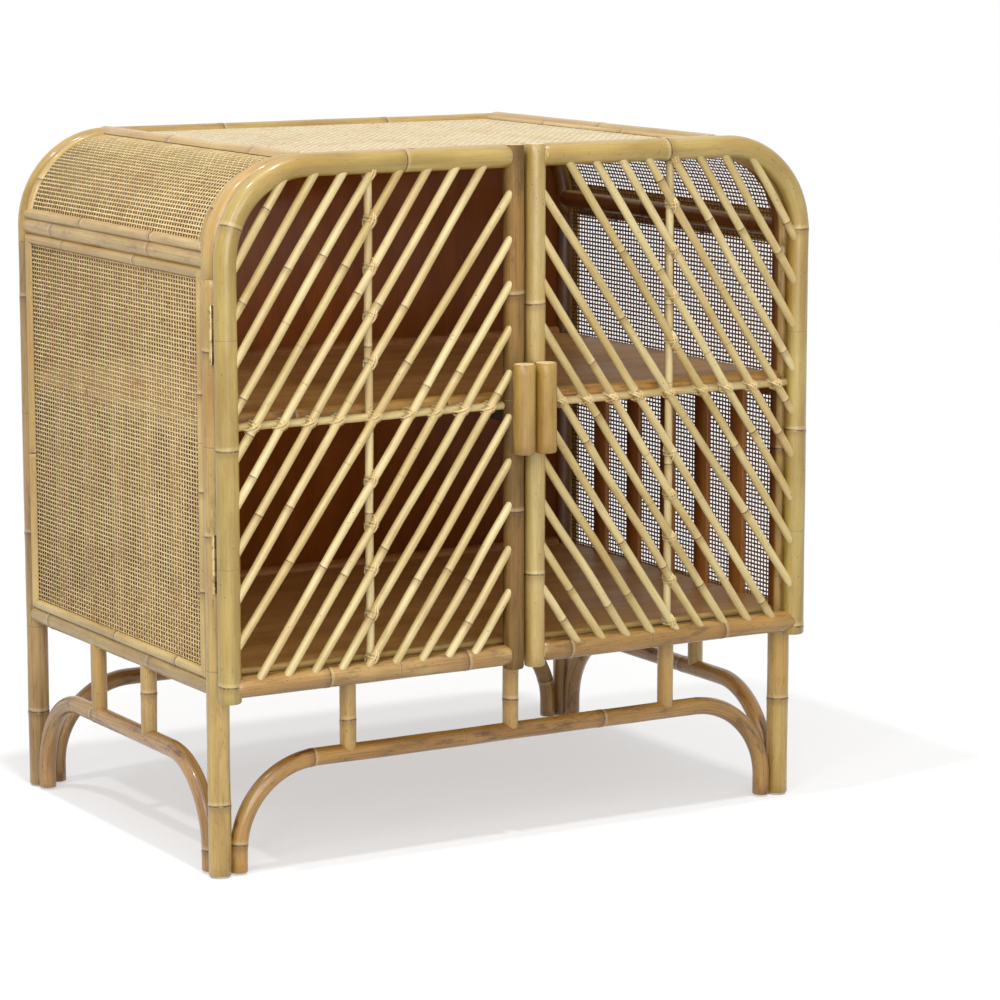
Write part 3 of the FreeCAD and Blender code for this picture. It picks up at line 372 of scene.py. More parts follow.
@functools.cache
def inward_side() -> bpy.types.NodeTree:
    """Where a surface between the floor board and the top faces the middle of the case.

    Returns:
        The shader group.
    """
    graph, take, end = new_group(
        "inward_side", "ShaderNodeTree",
        {"Middle": (VECTOR, None), "Rise": (FLOAT, 1.0), "From": (FLOAT, 0.0),
         "Floor": (FLOAT, 0.26), "Ceiling": (FLOAT, 0.92)}, {"Mask": FLOAT})
    fade, turn = 0.015, 0.25
    place = graph.add("ShaderNodeTexCoord").outputs
    way = graph.stretched(graph.vector("SUBTRACT", take["Middle"], place["Object"]),
                          graph.xyz(1.0, 1.0, take["Rise"]))
    facing = graph.add("ShaderNodeVectorMath",
                       {0: place["Normal"], 1: graph.vector("NORMALIZE", way)},
                       operation="DOT_PRODUCT").outputs["Value"]
    height = graph.part(place["Object"], 2)
    above = graph.ramp(graph.math("SUBTRACT", height, take["Floor"]), 0.0, fade)
    below = graph.ramp(graph.math("SUBTRACT", take["Ceiling"], height), 0.0, fade)
    turned = graph.ramp(graph.math("SUBTRACT", facing, take["From"]), 0.0, turn)
    return finish_group(graph, end, {"Mask": graph.times(turned, graph.times(above, below))})


def paint(colour: Rgb) -> tuple[float, float, float, float]:
    """Turn a colour written as 0-255 values into the linear values that shaders take.

    Args:
        colour: Red, green and blue.

    Returns:
        Red, green, blue and a full alpha.
    """
    parts = [part / 255 for part in colour]
    return (*(part / 12.92 if part <= 0.04045 else ((part + 0.055) / 1.055) ** 2.4
              for part in parts), 1.0)


# ---- finishes ----


AMBER, BARK, SCAR = (188, 136, 58), (62, 36, 16), (232, 214, 168)
PITH, VESSEL = (232, 212, 160), (164, 128, 78)
PORE = (46, 24, 10)
CASE_MIDDLE = (0.0, 0.031, 0.56)


class Slot(Enum):
    """The record's material slots."""

    FRAME = "frame_pole"
    ARCH = "arch_pole"
    DOOR = "door_pole"
    STILE = "door_stile"
    HANDLE = "handle_pole"
    SPLIT = "split_cane"
    WEBBING = "cane_webbing"
    CANE = "door_cane"
    BACK = "back_board"
    BOARD = "board"
    BATTEN = "batten"
    BRASS = "hinge_brass"
    STRIKE = "strike_steel"
    CATCH = "catch_plastic"
    GLIDE = "glide_plastic"


@dataclass(frozen=True)
class Finish:
    """Something that a piece is dressed in."""

    name: str
    slot: Slot

    def shader(self, graph: Graph) -> bpy.types.Node:
        """Write the finish into a material and give its shader node."""
        raise NotImplementedError

    def material(self) -> bpy.types.Material:
        """Make the Blender material of this finish, once.

        Returns:
            The material.
        """
        known = bpy.data.materials.get(self.name)
        if known:
            return known
        made = bpy.data.materials.new(self.name)
        graph = emptied(made)
        graph.add("ShaderNodeOutputMaterial", {"Surface": self.shader(graph).outputs[0]})
        return made


def emptied(owner: bpy.types.Material | bpy.types.World) -> Graph:
    """Clear the nodes of a material or world.

    Args:
        owner: The material or world.

    Returns:
        A graph to write into its tree.
    """
    owner.use_nodes = True
    owner.node_tree.nodes.clear()
    return Graph(owner.node_tree)


def surface(graph: Graph, colour: Value, roughness: Value, height: Value, depth: float,
            strength: float, **plain: float) -> bpy.types.Node:
    """Add a Principled BSDF with a bump.

    Args:
        graph: The material's tree.
        colour: Its colour.
        roughness: Its roughness.
        height: The height that the bump follows.
        depth: Height of the bump in metres.
        strength: Strength of the bump.
        plain: Numbers for other sockets, with _ for a space.

    Returns:
        The shader node.
    """
    bump = graph.add("ShaderNodeBump", {"Height": height, "Distance": depth, "Strength": strength})
    others = {name.replace("_", " "): value for name, value in plain.items()}
    return graph.add("ShaderNodeBsdfPrincipled", {
        "Base Color": colour, "Roughness": roughness, "Normal": bump.outputs[0], **others})


@dataclass(frozen=True)
class InsideStainAndShade:
    """Brown darkening of what faces the inside of the case: partly a stain, partly painted shade of
    the dim inside.
    """

    tint: Rgb
    rise: float
    threshold: float

    def over(self, graph: Graph, colour: Socket, share: float) -> Socket:
        """Lay the stain and painted shade over a colour.

        Args:
            graph: The material's tree.
            colour: The colour so far.
            share: How strong the stain and painted shade are; without any, the colour stays.

        Returns:
            The stained colour.
        """
        if not share:
            return colour
        mask = graph.group(inward_side(), {"Middle": CASE_MIDDLE, "Rise": self.rise,
                                           "From": self.threshold})["Mask"]
        return graph.blend(graph.times(mask, share), colour, paint(self.tint), "MULTIPLY")


# Painted shade, with some stain, on the sides of poles and woven cane that face the dim inside of
# the case.
POLE_STAIN_AND_SHADE = InsideStainAndShade((150, 106, 72), rise=0.2, threshold=0.3)
WEAVE_STAIN_AND_SHADE = InsideStainAndShade((116, 78, 50), rise=1.0, threshold=-0.35)


@dataclass(frozen=True)
class Rattan(Finish):
    """Skin of rattan pole or cane under lacquer, with growth rings and cut ends.

    Pinholes crowd above the height peppered, in metres.  Shares run from 0 to 1.
    """

    pale: Rgb
    deep: Rgb
    stain: Rgb
    amber: float = 0.35
    streaks: float = 0.32
    blotches: float = 0.3
    flecks: float = 0.3
    specks: float = 0.05
    # Share of the inside darkening, partly stain and partly painted shade.
    inside: float = 0.0
    peppered: float = 9.0
    ring: float = 1.7
    lip: float = 0.2
    fineness: float = 1.0
    roughness: float = 0.36
    gloss: float = 0.45
    peppering: float = 0.6
    peppering_blend: float = 0.02
    specks_per_metre: float = 190.0
    speck_size: float = 0.2
    speck_depth: float = 0.75
    ring_shade: float = 0.4
    ring_depth: float = 0.88
    tone_value: float = 0.09
    tone_saturation: float = -0.05
    streak_roughness: float = 0.14
    cut_roughness: float = 0.7

    def shader(self, graph: Graph) -> bpy.types.Node:
        """Mix fibres, blotches, specks and rings, and the pith of a cut end.

        Args:
            graph: The material's tree.

        Returns:
            The shader node.
        """
        grain = graph.mark("grain", "Vector")
        tone = graph.mark("tone")
        cut = graph.mark("cut")
        stain, bark = paint(self.stain), paint(BARK)
        fibre = graph.group(fibre_grain(), {"Grain": grain, "Fineness": self.fineness})
        ring = graph.group(growth_ring(), {"Distance": graph.mark("ring"), "Grain": grain,
                                           "Width": self.ring})
        crowd = graph.ramp(graph.part(graph.place(), 2), self.peppered,
                           self.peppered + self.peppering_blend, self.specks, self.peppering)
        speck = graph.group(pin_specks(), {"Vector": grain, "Scale": self.specks_per_metre,
                                           "Size": self.speck_size, "Share": crowd})
        colour = graph.blend(fibre["Broad"], paint(self.pale), paint(self.deep))
        for share, part, tint in ((self.amber, fibre["Wash"], paint(AMBER)),
                                  (self.streaks, fibre["Streak"], stain),
                                  (self.blotches, fibre["Blotch"], stain),
                                  (self.flecks, fibre["Fleck"], bark),
                                  (self.speck_depth, speck["Mask"], bark),
                                  (self.ring_shade, ring["Shade"], stain),
                                  (self.lip, ring["Lip"], paint(SCAR)),
                                  (self.ring_depth, ring["Line"], bark)):
            colour = graph.blend(graph.times(part, share), colour, tint)
        colour = graph.first("ShaderNodeHueSaturation", {
            "Value": graph.math("MULTIPLY_ADD", tone, self.tone_value, 1.0),
            "Saturation": graph.math("MULTIPLY_ADD", tone, self.tone_saturation, 1.0),
            "Color": colour})
        # Painted shade, with some stain, where the pole faces the inside of the case.
        colour = POLE_STAIN_AND_SHADE.over(graph, colour, self.inside)
        vessels = graph.ramp(graph.noise(grain, 1500.0, 1.0), 0.5, 0.66)
        colour = graph.blend(cut, colour, graph.blend(vessels, paint(PITH), paint(VESSEL)))
        roughness = graph.math("MULTIPLY_ADD", fibre["Streak"], self.streak_roughness,
                               self.roughness)
        roughness = graph.math("MAXIMUM", roughness, graph.times(cut, self.cut_roughness))
        height = graph.math("SUBTRACT", fibre["Height"], ring["Line"])
        return surface(graph, colour, roughness, height, 0.0004, 0.4, Coat_Weight=self.gloss,
                       Coat_Roughness=0.14)


@dataclass(frozen=True)
class WovenCane(Finish):
    """Matt strands of woven cane; each strand has a tone of its own."""

    pale: Rgb
    deep: Rgb
    # Share of the inside darkening, partly stain and partly painted shade.
    inside: float = 0.0
    roughness: float = 0.56
    strand_tone: float = 0.16

    def shader(self, graph: Graph) -> bpy.types.Node:
        """Vary the strands a little along their length, and the panel in broad patches.

        Args:
            graph: The material's tree.

        Returns:
            The shader node.
        """
        grain, place = graph.mark("grain", "Vector"), graph.place()
        along = graph.noise(graph.stretched(grain, (26, 900, 900)), 1.0, 3.0, 0.65)
        tone = graph.math("MULTIPLY_ADD", graph.mark("tone"), self.strand_tone, along)
        worn = graph.noise(graph.stretched(grain, (34, 700, 700)), 1.0, 2.0)
        fibres = graph.noise(graph.stretched(grain, (60, 2600, 2600)), 1.0, 2.0)
        colour = graph.blend(graph.ramp(tone, 0.42, 0.85), paint(self.pale), paint(self.deep))
        for value, low, high, share, tint in (
                (graph.noise(place, 16.0, 3.0), 0.5, 0.68, 0.3, (206, 158, 118)),
                (graph.noise(place, 11.0, 3.0), 0.52, 0.7, 0.3, (206, 190, 128)),
                (worn, 0.62, 0.72, 0.55, (150, 104, 60))):
            colour = graph.blend(graph.ramp(value, low, high, 0.0, share), colour, paint(tint))
        # Painted shade, with some stain, where the strands face the inside of the case.
        colour = WEAVE_STAIN_AND_SHADE.over(graph, colour, self.inside)
        return surface(graph, colour, self.roughness, fibres, 0.0002, 0.35, Coat_Weight=0.1,
                       Coat_Roughness=0.35)


@dataclass(frozen=True)
class Board(Finish):
    """Stained and lacquered veneer."""

    pale: Rgb
    deep: Rgb
    tilt: float = 0.0
    roughness: float = 0.42
    pore_depth: float = 0.35

    def shader(self, graph: Graph) -> bpy.types.Node:
        """Lay the grain along X of the object, turned as the board is.

        Args:
            graph: The material's tree.

        Returns:
            The shader node.
        """
        place = graph.place()
        turned = graph.first("ShaderNodeMapping", {
            "Vector": place, "Rotation": (0.0, math.radians(self.tilt), 0.0)})
        wood = graph.group(board_grain(), {"Vector": turned})
        colour = graph.blend(wood["Figure"], paint(self.pale), paint(self.deep))
        colour = graph.blend(graph.times(wood["Pores"], self.pore_depth), colour, paint(PORE))
        worn = graph.noise(place, 9.0, 4.0, 0.6)
        roughness = graph.ramp(worn, 0.3, 0.7, self.roughness - 0.08, self.roughness + 0.12)
        return surface(graph, colour, roughness, wood["Height"], 0.0003, 0.3, Coat_Weight=0.12,
                       Coat_Roughness=0.3)


@dataclass(frozen=True)
class Metal(Finish):
    """Brushed and slightly aged metal."""

    bright: Rgb
    aged: Rgb
    roughness: float = 0.3

    def shader(self, graph: Graph) -> bpy.types.Node:
        """Brush it upright and darken it in patches.

        Args:
            graph: The material's tree.

        Returns:
            The shader node.
        """
        place = graph.place()
        brushed = graph.noise(graph.stretched(place, (2600, 2600, 90)), 1.0, 2.0)
        patch = graph.noise(place, 120.0, 3.0, 0.6)
        colour = graph.blend(graph.ramp(patch, 0.45, 0.75), paint(self.bright), paint(self.aged))
        roughness = graph.ramp(brushed, 0.3, 0.7, self.roughness - 0.06, self.roughness + 0.12)
        return surface(graph, colour, roughness, brushed, 0.0001, 0.25, Metallic=1.0)


@dataclass(frozen=True)
class Moulded(Finish):
    """Moulded plastic with a fine texture and light scuffs."""

    colour: Rgb
    scuffed: Rgb
    roughness: float = 0.5

    def shader(self, graph: Graph) -> bpy.types.Node:
        """Texture it finely and scuff it in places.

        Args:
            graph: The material's tree.

        Returns:
            The shader node.
        """
        place = graph.place()
        fine = graph.noise(place, 1800.0, 2.0)
        scuff = graph.ramp(graph.noise(place, 160.0, 4.0, 0.7), 0.55, 0.75)
        colour = graph.blend(scuff, paint(self.colour), paint(self.scuffed))
        roughness = graph.ramp(scuff, 0.0, 1.0, self.roughness, self.roughness + 0.2)
        return surface(graph, colour, roughness, fine, 0.0001, 0.3)


# Frame poles, rear posts and side webbing take 0.95 of the inside stain and painted shade; the bare
# pole takes none.
FRAME_POLE = Rattan("frame_pole_skin", Slot.FRAME, (192, 162, 92), (166, 132, 67),
                    (116, 78, 34), streaks=0.36, blotches=0.45, flecks=0.42, specks=0.07,
                    inside=0.95)
BARE_POLE = replace(FRAME_POLE, name="frame_pole_bare_skin", inside=0.0)
AGED_POLE = Rattan("frame_pole_aged_skin", Slot.FRAME, (170, 137, 76), (140, 105, 50),
                   (92, 60, 26), streaks=0.45, blotches=0.5, flecks=0.45, inside=0.95)
SHELF_POLE = Rattan("shelf_pole_skin", Slot.FRAME, (196, 150, 72), (164, 114, 48), (92, 52, 18),
                    amber=0.5, streaks=0.4, blotches=0.6, flecks=0.5, ring=2.2)
ARCH_POLE = Rattan("arch_pole_skin", Slot.ARCH, (179, 138, 76), (145, 104, 49), (78, 46, 18),
                   streaks=0.5, blotches=0.9, flecks=0.6, specks=0.1)
DOOR_POLE = Rattan("door_pole_skin", Slot.DOOR, (179, 156, 86), (155, 128, 60), (130, 98, 42),
                   amber=0.2, blotches=0.25)
DOOR_RAIL = Rattan("door_rail_skin", Slot.DOOR, (181, 146, 83), (149, 112, 55), (92, 58, 24),
                   streaks=0.42, blotches=0.65, flecks=0.5, specks=0.1)
STILE_GOLD = Rattan("stile_golden_skin", Slot.STILE, (122, 90, 20), (96, 68, 10),
                    (62, 36, 10), amber=0.2, streaks=0.5, blotches=0.6, flecks=0.2, specks=0.12,
                    roughness=0.6, gloss=0.0)
STILE_PALE = Rattan("stile_pale_skin", Slot.STILE, (186, 163, 98), (162, 135, 70),
                    (130, 98, 46), amber=0.2, blotches=0.2, specks=0.1, peppered=0.87)
HANDLE_POLE = Rattan("handle_pole_skin", Slot.HANDLE, (164, 133, 58), (142, 107, 43),
                     (112, 74, 28), amber=0.2, blotches=0.35, specks=0.09, gloss=0.25)
SPLIT_CANE = Rattan("split_cane_skin", Slot.SPLIT, (202, 173, 105), (176, 143, 75),
                    (126, 88, 42), fineness=1.5)
DOOR_CANE = Rattan("door_cane_skin", Slot.CANE, (216, 198, 142), (192, 168, 110), (138, 98, 48),
                   amber=0.12, ring=1.3, lip=0.15, fineness=1.8, streaks=0.3, blotches=0.25,
                   flecks=0.22, specks=0.06, roughness=0.45, gloss=0.15)
LASHING = Rattan("lashing_peel", Slot.CANE, (238, 220, 172), (214, 190, 134), (150, 110, 58),
                 amber=0.1, blotches=0.2, fineness=2.5, roughness=0.42, gloss=0.25)
WEBBING = WovenCane("woven_cane", Slot.WEBBING, (247, 223, 164), (214, 180, 116), inside=0.95)
# A paler, greyer copy of the woven cane for the top; part of its paleness is painted light from
# above.
TOP_WEBBING = WovenCane("woven_cane_top", Slot.WEBBING, (226, 211, 174), (204, 182, 140))
BACK_BOARD = Board("back_board_veneer", Slot.BACK, (158, 88, 30), (136, 72, 22), tilt=90)
PANEL_BOARD = Board("panel_board_veneer", Slot.BOARD, (216, 166, 96), (186, 136, 70))
BATTEN_BOARD = Board("batten_board", Slot.BATTEN, (174, 116, 56), (134, 80, 32), tilt=90)
BRASS = Metal("hinge_brass_brushed", Slot.BRASS, (206, 184, 136), (146, 122, 82))
STEEL = Metal("strike_steel_plated", Slot.STRIKE, (196, 196, 198), (140, 138, 134))
CATCH = Moulded("catch_dark_moulded", Slot.CATCH, (58, 46, 38), (92, 76, 62))
GLIDE = Moulded("glide_grey_moulded", Slot.GLIDE, (196, 196, 192), (150, 146, 138))


# ---- meshes ----


RINGLESS = 1e4
NEAR_RING = (-9, -6, -4, -2.6, -1.5, -0.8, 0, 0.8, 1.5, 2.6, 4, 6, 9)
LEAST_STEP, NEARBY = 0.45, 1.5
SPOT = 1e-5
ROUND_SIDES, SHARP_TURN = 16, 0.9


class Outline:
    """Cross-sections, in millimetres, as points across and out."""

    @staticmethod
    def disc(diameter: float, sides: int = 24) -> np.ndarray:
        """A circle."""
        turn = np.linspace(0, 2 * math.pi, sides, endpoint=False)
        return np.stack([np.cos(turn), np.sin(turn)], 1) * diameter / 2

    @staticmethod
    def half_round(width: float, height: float, steps: int = 8) -> np.ndarray:
        """A strip with its flat side down.

        Args:
            width: From its outer edge, at 0, to its inner edge.
            height: Its greatest height.
            steps: Edges of its round side.

        Returns:
            The outline.
        """
        radius = (width ** 2 / 4 + height ** 2) / (2 * height)
        reach = math.asin(width / 2 / radius)
        turn = np.linspace(-reach, reach, steps + 1)
        return np.stack([width / 2 + radius * np.sin(turn),
                         height - radius + radius * np.cos(turn)], 1)

    @staticmethod
    def bar(width: float, depth: float, round_off: float) -> np.ndarray:
        """A rectangle about 0 with its corners taken off.

        Args:
            width: Its width.
            depth: Its depth.
            round_off: How much is taken off along each side.

        Returns:
            The outline.
        """
        x, y = width / 2, depth / 2
        return np.array([(x - round_off, -y), (x, -y + round_off), (x, y - round_off),
                         (x - round_off, y), (round_off - x, y), (-x, y - round_off),
                         (-x, round_off - y), (round_off - x, -y)])

    @staticmethod
    def sector(radius: float, first: float, last: float, steps: int = 6) -> np.ndarray:
        """Part of a disc, with its corner at 0 unless it is half the disc.

        Args:
            radius: The disc's radius.
            first: Where it starts, in degrees.
            last: Where it ends, in degrees.
            steps: Edges of its round side.

        Returns:
            The outline.
        """
        turn = np.radians(np.linspace(first, last, steps + 1))
        arc = np.stack([np.cos(turn), np.sin(turn)], 1) * radius
        return np.vstack([[0.0, 0.0], arc]) if last - first < 180 else arc


def centre_line(corners: Sequence[Point], bend: float = 0.0, step: float = 3.0) -> np.ndarray:
    """The line through some corners, each rounded to a bend.

    Args:
        corners: The line's corners.
        bend: Radius of the bends.
        step: Longest step along a bend.

    Returns:
        Points along the line.
    """
    corners = [np.array(corner, float) for corner in corners]
    points = [corners[0]]
    for before, corner, after in zip(corners, corners[1:], corners[2:]):
        back = (before - corner) / np.linalg.norm(before - corner)
        ahead = (after - corner) / np.linalg.norm(after - corner)
        turning = math.pi - math.acos(float(back @ ahead))
        reach = bend * math.tan(turning / 2)
        middle = corner + (back + ahead) / np.linalg.norm(back + ahead) * bend / math.cos(
            turning / 2)
        start, end = corner + back * reach - middle, corner + ahead * reach - middle
        for share in np.linspace(0, 1, math.ceil(bend * turning / step) + 1):
            points.append(middle + (start * math.sin((1 - share) * turning)
                                    + end * math.sin(share * turning)) / math.sin(turning))
    points.append(corners[-1])
    return np.array(points)


@dataclass
class Pole:
    """A length of rattan, round or split, bent in one plane.

    across is square to that plane; the outline's first axis lies along it.
    """

    corners: Sequence[Point]
    across: np.ndarray
    outline: np.ndarray
    bend: float = 0.0
    rings: Sequence[Ring] = ()
    mitres: tuple[float, float] = (0.0, 0.0)
    bevel: float = 0.8
    step: float = 14.0
    wander: float = 0.5

    def __post_init__(self) -> None:
        """Work out the centre line and where the rings are along it."""
        self.line = centre_line(self.corners, self.bend)
        runs = np.linalg.norm(np.diff(self.line, axis=0), axis=1)
        self.marks = np.concatenate([[0.0], np.cumsum(runs)])
        self.length = float(self.marks[-1])
        self.size = float(np.ptp(self.outline[:, 0]))
        self.places = [self.place_of(axis, value) for axis, value in self.rings]

    def at(self, along: np.ndarray) -> np.ndarray:
        """Points of the centre line by the length along it."""
        parts = [np.interp(along, self.marks, self.line[:, axis]) for axis in range(3)]
        return np.stack(parts, -1)

    def place_of(self, axis: str, value: float) -> float:
        """The length along the line at which it crosses a coordinate.

        Args:
            axis: x, y or z.
            value: The coordinate.

        Returns:
            The length along the line.
        """
        gentle, far = 0.6, 1000
        tries = np.linspace(0, self.length, max(2, int(self.length)))
        coordinate = self.at(tries)[:, "xyz".index(axis)]
        slope = np.abs(np.gradient(coordinate, tries))
        return float(tries[np.argmin(np.abs(coordinate - value) + far * (slope < gentle))])

    def stations(self) -> np.ndarray:
        """Where the cross-sections are: evenly, and close together at bends, rings and ends.

        Returns:
            Lengths along the line.
        """
        found = set(np.linspace(0, self.length, max(2, math.ceil(self.length / self.step)) + 1))
        found |= {place + offset for place in self.places for offset in NEAR_RING}
        found |= {self.bevel, self.length - self.bevel}
        if self.bend:
            found |= set(self.marks)
        kept = sorted(mark for mark in found if 0 <= mark <= self.length)
        apart = [kept[0]]
        for mark in kept[1:-1]:
            if min(mark - apart[-1], self.length - mark) > LEAST_STEP:
                apart.append(mark)
        return np.array(apart + [kept[-1]])


@dataclass(frozen=True)
class Growth:
    """How rattan grows: swellings at its rings, and unevenness between them.

    Pairs are the least and the most of what is drawn for each pole.  Shares are of its diameter.
    """

    skew: tuple[float, float] = (0.01, 0.045)
    skew_fade: float = 14.0
    ridge: float = 0.22
    ridge_share: float = 0.01
    ridge_reach: float = 2.0
    ridge_reach_share: float = 0.075
    groove: float = 0.42
    groove_reach: float = 0.9
    ledge: float = 0.25
    ledge_fade: float = 24.0
    uneven: tuple[float, float] = (0.05, 0.16)
    uneven_beat: tuple[float, float] = (0.008, 0.05)
    uneven_waves: tuple[int, ...] = (0, 1, 2, 3)
    full_uneven_size: float = 20.0
    drift: tuple[float, float] = (0.3, 0.6)
    drift_beat: tuple[float, float] = (0.006, 0.03)
    phase: tuple[float, float] = (0, 6.3)
    offset: tuple[float, float] = (-3, 3)
    tone: tuple[float, float] = (-1, 1)

    def profile(self, ring: np.ndarray, size: float) -> np.ndarray:
        """How much thicker a pole is by its distance from a ring.

        Args:
            ring: Distances from the nearest ring, below 0 before it.
            size: The pole's diameter.

        Returns:
            Millimetres on the radius.
        """
        reach = self.ridge_reach + self.ridge_reach_share * size
        ridge = (self.ridge + self.ridge_share * size) * np.exp(-(ring / reach) ** 2)
        groove = self.groove * np.exp(-(ring / self.groove_reach) ** 2)
        fading = self.ledge * np.exp(np.minimum(ring, 0) / self.ledge_fade)
        return ridge - groove + np.where(ring < 0, fading, 0.0)


GROWTH = Growth()


class Shape:
    """The faces of a piece while it is made, with the marks that its finish reads."""

    def __init__(self, seed: int) -> None:
        """Start empty.

        Args:
            seed: Seed for the growth of the poles.
        """
        self.dice = np.random.default_rng(SEED * 1000 + seed)
        self.points: list[np.ndarray] = []
        self.faces: list[list[int]] = []
        self.cuts: list[float] = []
        self.rims: list[tuple[int, int]] = []
        self.marks: dict[str, list[np.ndarray]] = {"grain": [], "ring": [], "tone": []}
        self.count = 0

    def pole(self, pole: Pole) -> Shape:
        """Add a pole: swollen at its rings, a little uneven, and closed at its ends.

        Args:
            pole: The pole.

        Returns:
            This shape.
        """
        draw, outline, radius = self.dice.uniform, pole.outline, pole.size / 2
        marks = pole.stations()
        rows, sides = len(marks), len(outline)
        share = marks / pole.length
        start = pole.mitres[0] * outline[:, 0]
        end = pole.length - pole.mitres[1] * outline[:, 0]
        along = start[None, :] + share[:, None] * (end - start)[None, :]
        places = np.array(pole.places or [RINGLESS])
        nearest = np.abs(along[:, :, None] - places[None, None, :]).argmin(2)
        ring = along - places[nearest]
        turn = np.arange(sides) * 2 * math.pi / sides
        skew = draw(*GROWTH.skew, len(places)) * pole.size
        lean = skew[nearest] * np.cos(turn[None, :] + draw(*GROWTH.phase, len(places))[nearest])
        along = along + lean * np.exp(-(ring / GROWTH.skew_fade) ** 2)
        uneven = sum(draw(*GROWTH.uneven)
                     * np.sin(along * draw(*GROWTH.uneven_beat) + draw(*GROWTH.phase))
                     * np.cos(turn * waves + draw(*GROWTH.phase))[None, :]
                     for waves in GROWTH.uneven_waves)
        swelling = GROWTH.profile(ring, pole.size) \
            + uneven * min(1.0, pole.size / GROWTH.full_uneven_size)
        ends = np.minimum(marks, pole.length - marks)
        eased = pole.bevel * np.clip(1 - ends / max(pole.bevel, 0.01), 0, 1)
        scale = (1 + swelling / radius) * (1 - eased / radius)[:, None]
        ahead = (pole.at(np.minimum(marks + NEARBY, pole.length))
                 - pole.at(np.maximum(marks - NEARBY, 0)))
        ahead /= np.linalg.norm(ahead, axis=1)[:, None]
        out = np.cross(ahead, pole.across)
        window = np.sin(np.pi * share)[:, None]
        drift = sum(draw(*GROWTH.drift)
                    * np.sin(marks * draw(*GROWTH.drift_beat) + draw(*GROWTH.phase))[:, None]
                    * direction for direction in (pole.across[None, :], out))
        body = pole.at(along) + (drift * pole.wander * window)[:, None, :]
        body = body + pole.across * (outline[:, 0][None, :] * scale)[:, :, None]
        body = body + out[:, None, :] * (outline[:, 1][None, :] * scale)[:, :, None]
        flat = np.broadcast_to(outline[None], (rows, sides, 2))
        grain = np.concatenate([flat, along[:, :, None]], 2) * MM + draw(*GROWTH.offset, 3)
        self.skin(outline, rows)
        self.points.append(body.reshape(-1, 3))
        self.marks["grain"].append(grain.reshape(-1, 3))
        self.marks["ring"].append(np.clip(ring, -FAR_RING, FAR_RING).ravel())
        self.marks["tone"].append(np.full(rows * sides, draw(*GROWTH.tone)))
        self.count += rows * sides
        return self

    def skin(self, outline: np.ndarray, rows: int) -> None:
        """Add the faces of a pole whose points come next.

        Args:
            outline: Its cross-section.
            rows: How many cross-sections it has.
        """
        sides = len(outline)
        index = np.arange(rows * sides).reshape(rows, sides) + self.count
        after = np.roll(index, -1, 1)
        faces = np.stack([index[:-1], after[:-1], after[1:], index[1:]], 2).reshape(-1, 4)
        caps = [index[0][::-1].tolist(), index[-1].tolist()]
        if np.cross(outline - outline.mean(0), np.roll(outline, -1, 0) - outline).sum() > 0:
            faces = faces[:, ::-1]
            caps = [cap[::-1] for cap in caps]
        self.faces += faces.tolist() + caps
        self.cuts += [0.0] * len(faces) + [1.0, 1.0]
        for loop in (index[0], index[-1]):
            self.rims += list(zip(loop.tolist(), np.roll(loop, -1).tolist()))
        if sides < ROUND_SIDES:
            for corner in np.argwhere(self.bends(outline) > SHARP_TURN).ravel():
                self.rims += list(zip(index[:-1, corner].tolist(), index[1:, corner].tolist()))

    @staticmethod
    def bends(outline: np.ndarray) -> np.ndarray:
        """How far an outline turns at each of its corners, in radians.

        Args:
            outline: The outline.

        Returns:
            One angle for each corner.
        """
        before = outline - np.roll(outline, 1, 0)
        after = np.roll(outline, -1, 0) - outline
        return np.abs(np.arctan2(np.cross(before, after), (before * after).sum(1)))

    def slab(self, outline: Sequence[Sequence[float]], low: float, high: float,
             place: np.ndarray) -> Shape:
        """Add a flat plate.

        Args:
            outline: Its outline, in the plane of the first two axes of place.
            low: Its lower face along the third axis.
            high: Its upper face along the third axis.
            place: Three axes, as rows.

        Returns:
            This shape.
        """
        outline = np.array(outline, float)
        sides = len(outline)
        if np.cross(outline, np.roll(outline, -1, 0)).sum() < 0:
            outline = outline[::-1]
        levels = [np.column_stack([outline, np.full(sides, level)]) @ place
                  for level in (low, high)]
        index = np.arange(sides) + self.count
        after = np.roll(index, -1)
        walls = np.stack([index, after, after + sides, index + sides], 1).tolist()
        faces = walls + [index[::-1].tolist(), (index + sides).tolist()]
        if np.linalg.det(place) < 0:
            faces = [face[::-1] for face in faces]
        self.faces += faces
        self.cuts += [0.0] * len(faces)
        self.rims += [(face[k], face[k - 1]) for face in faces for k in range(len(face))]
        self.points += levels
        self.marks["grain"].append(np.vstack(levels) * MM)
        self.marks["ring"].append(np.full(2 * sides, FAR_RING))
        self.marks["tone"].append(np.zeros(2 * sides))
        self.count += 2 * sides
        return self

    def piece(self, name: str, body: Body, finish: Finish,
              nodes: Sequence[str] = ()) -> bpy.types.Object:
        """Make the piece.

        Args:
            name: Its name.
            body: The body that it rides on.
            finish: What it is dressed in.
            nodes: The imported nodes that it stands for.

        Returns:
            The piece.
        """
        mesh = bpy.data.meshes.new(name)
        mesh.from_pydata((np.vstack(self.points) * MM).tolist(), [], self.faces)
        for mark, kind, key in (("grain", "FLOAT_VECTOR", "vector"), ("ring", "FLOAT", "value"),
                                ("tone", "FLOAT", "value")):
            values = np.concatenate(self.marks[mark]).astype(np.float32)
            mesh.attributes.new(mark, kind, "POINT").data.foreach_set(key, values.ravel())
        mesh.attributes.new("cut", "FLOAT", "FACE").data.foreach_set("value", self.cuts)
        mesh.polygons.foreach_set("use_smooth", [True] * len(mesh.polygons))
        sharp = {tuple(sorted(pair)) for pair in self.rims}
        mesh.edges.foreach_set("use_edge_sharp",
                               [tuple(sorted(edge.vertices)) in sharp for edge in mesh.edges])
        return dress(bpy.data.objects.new(name, mesh), body, finish, nodes)


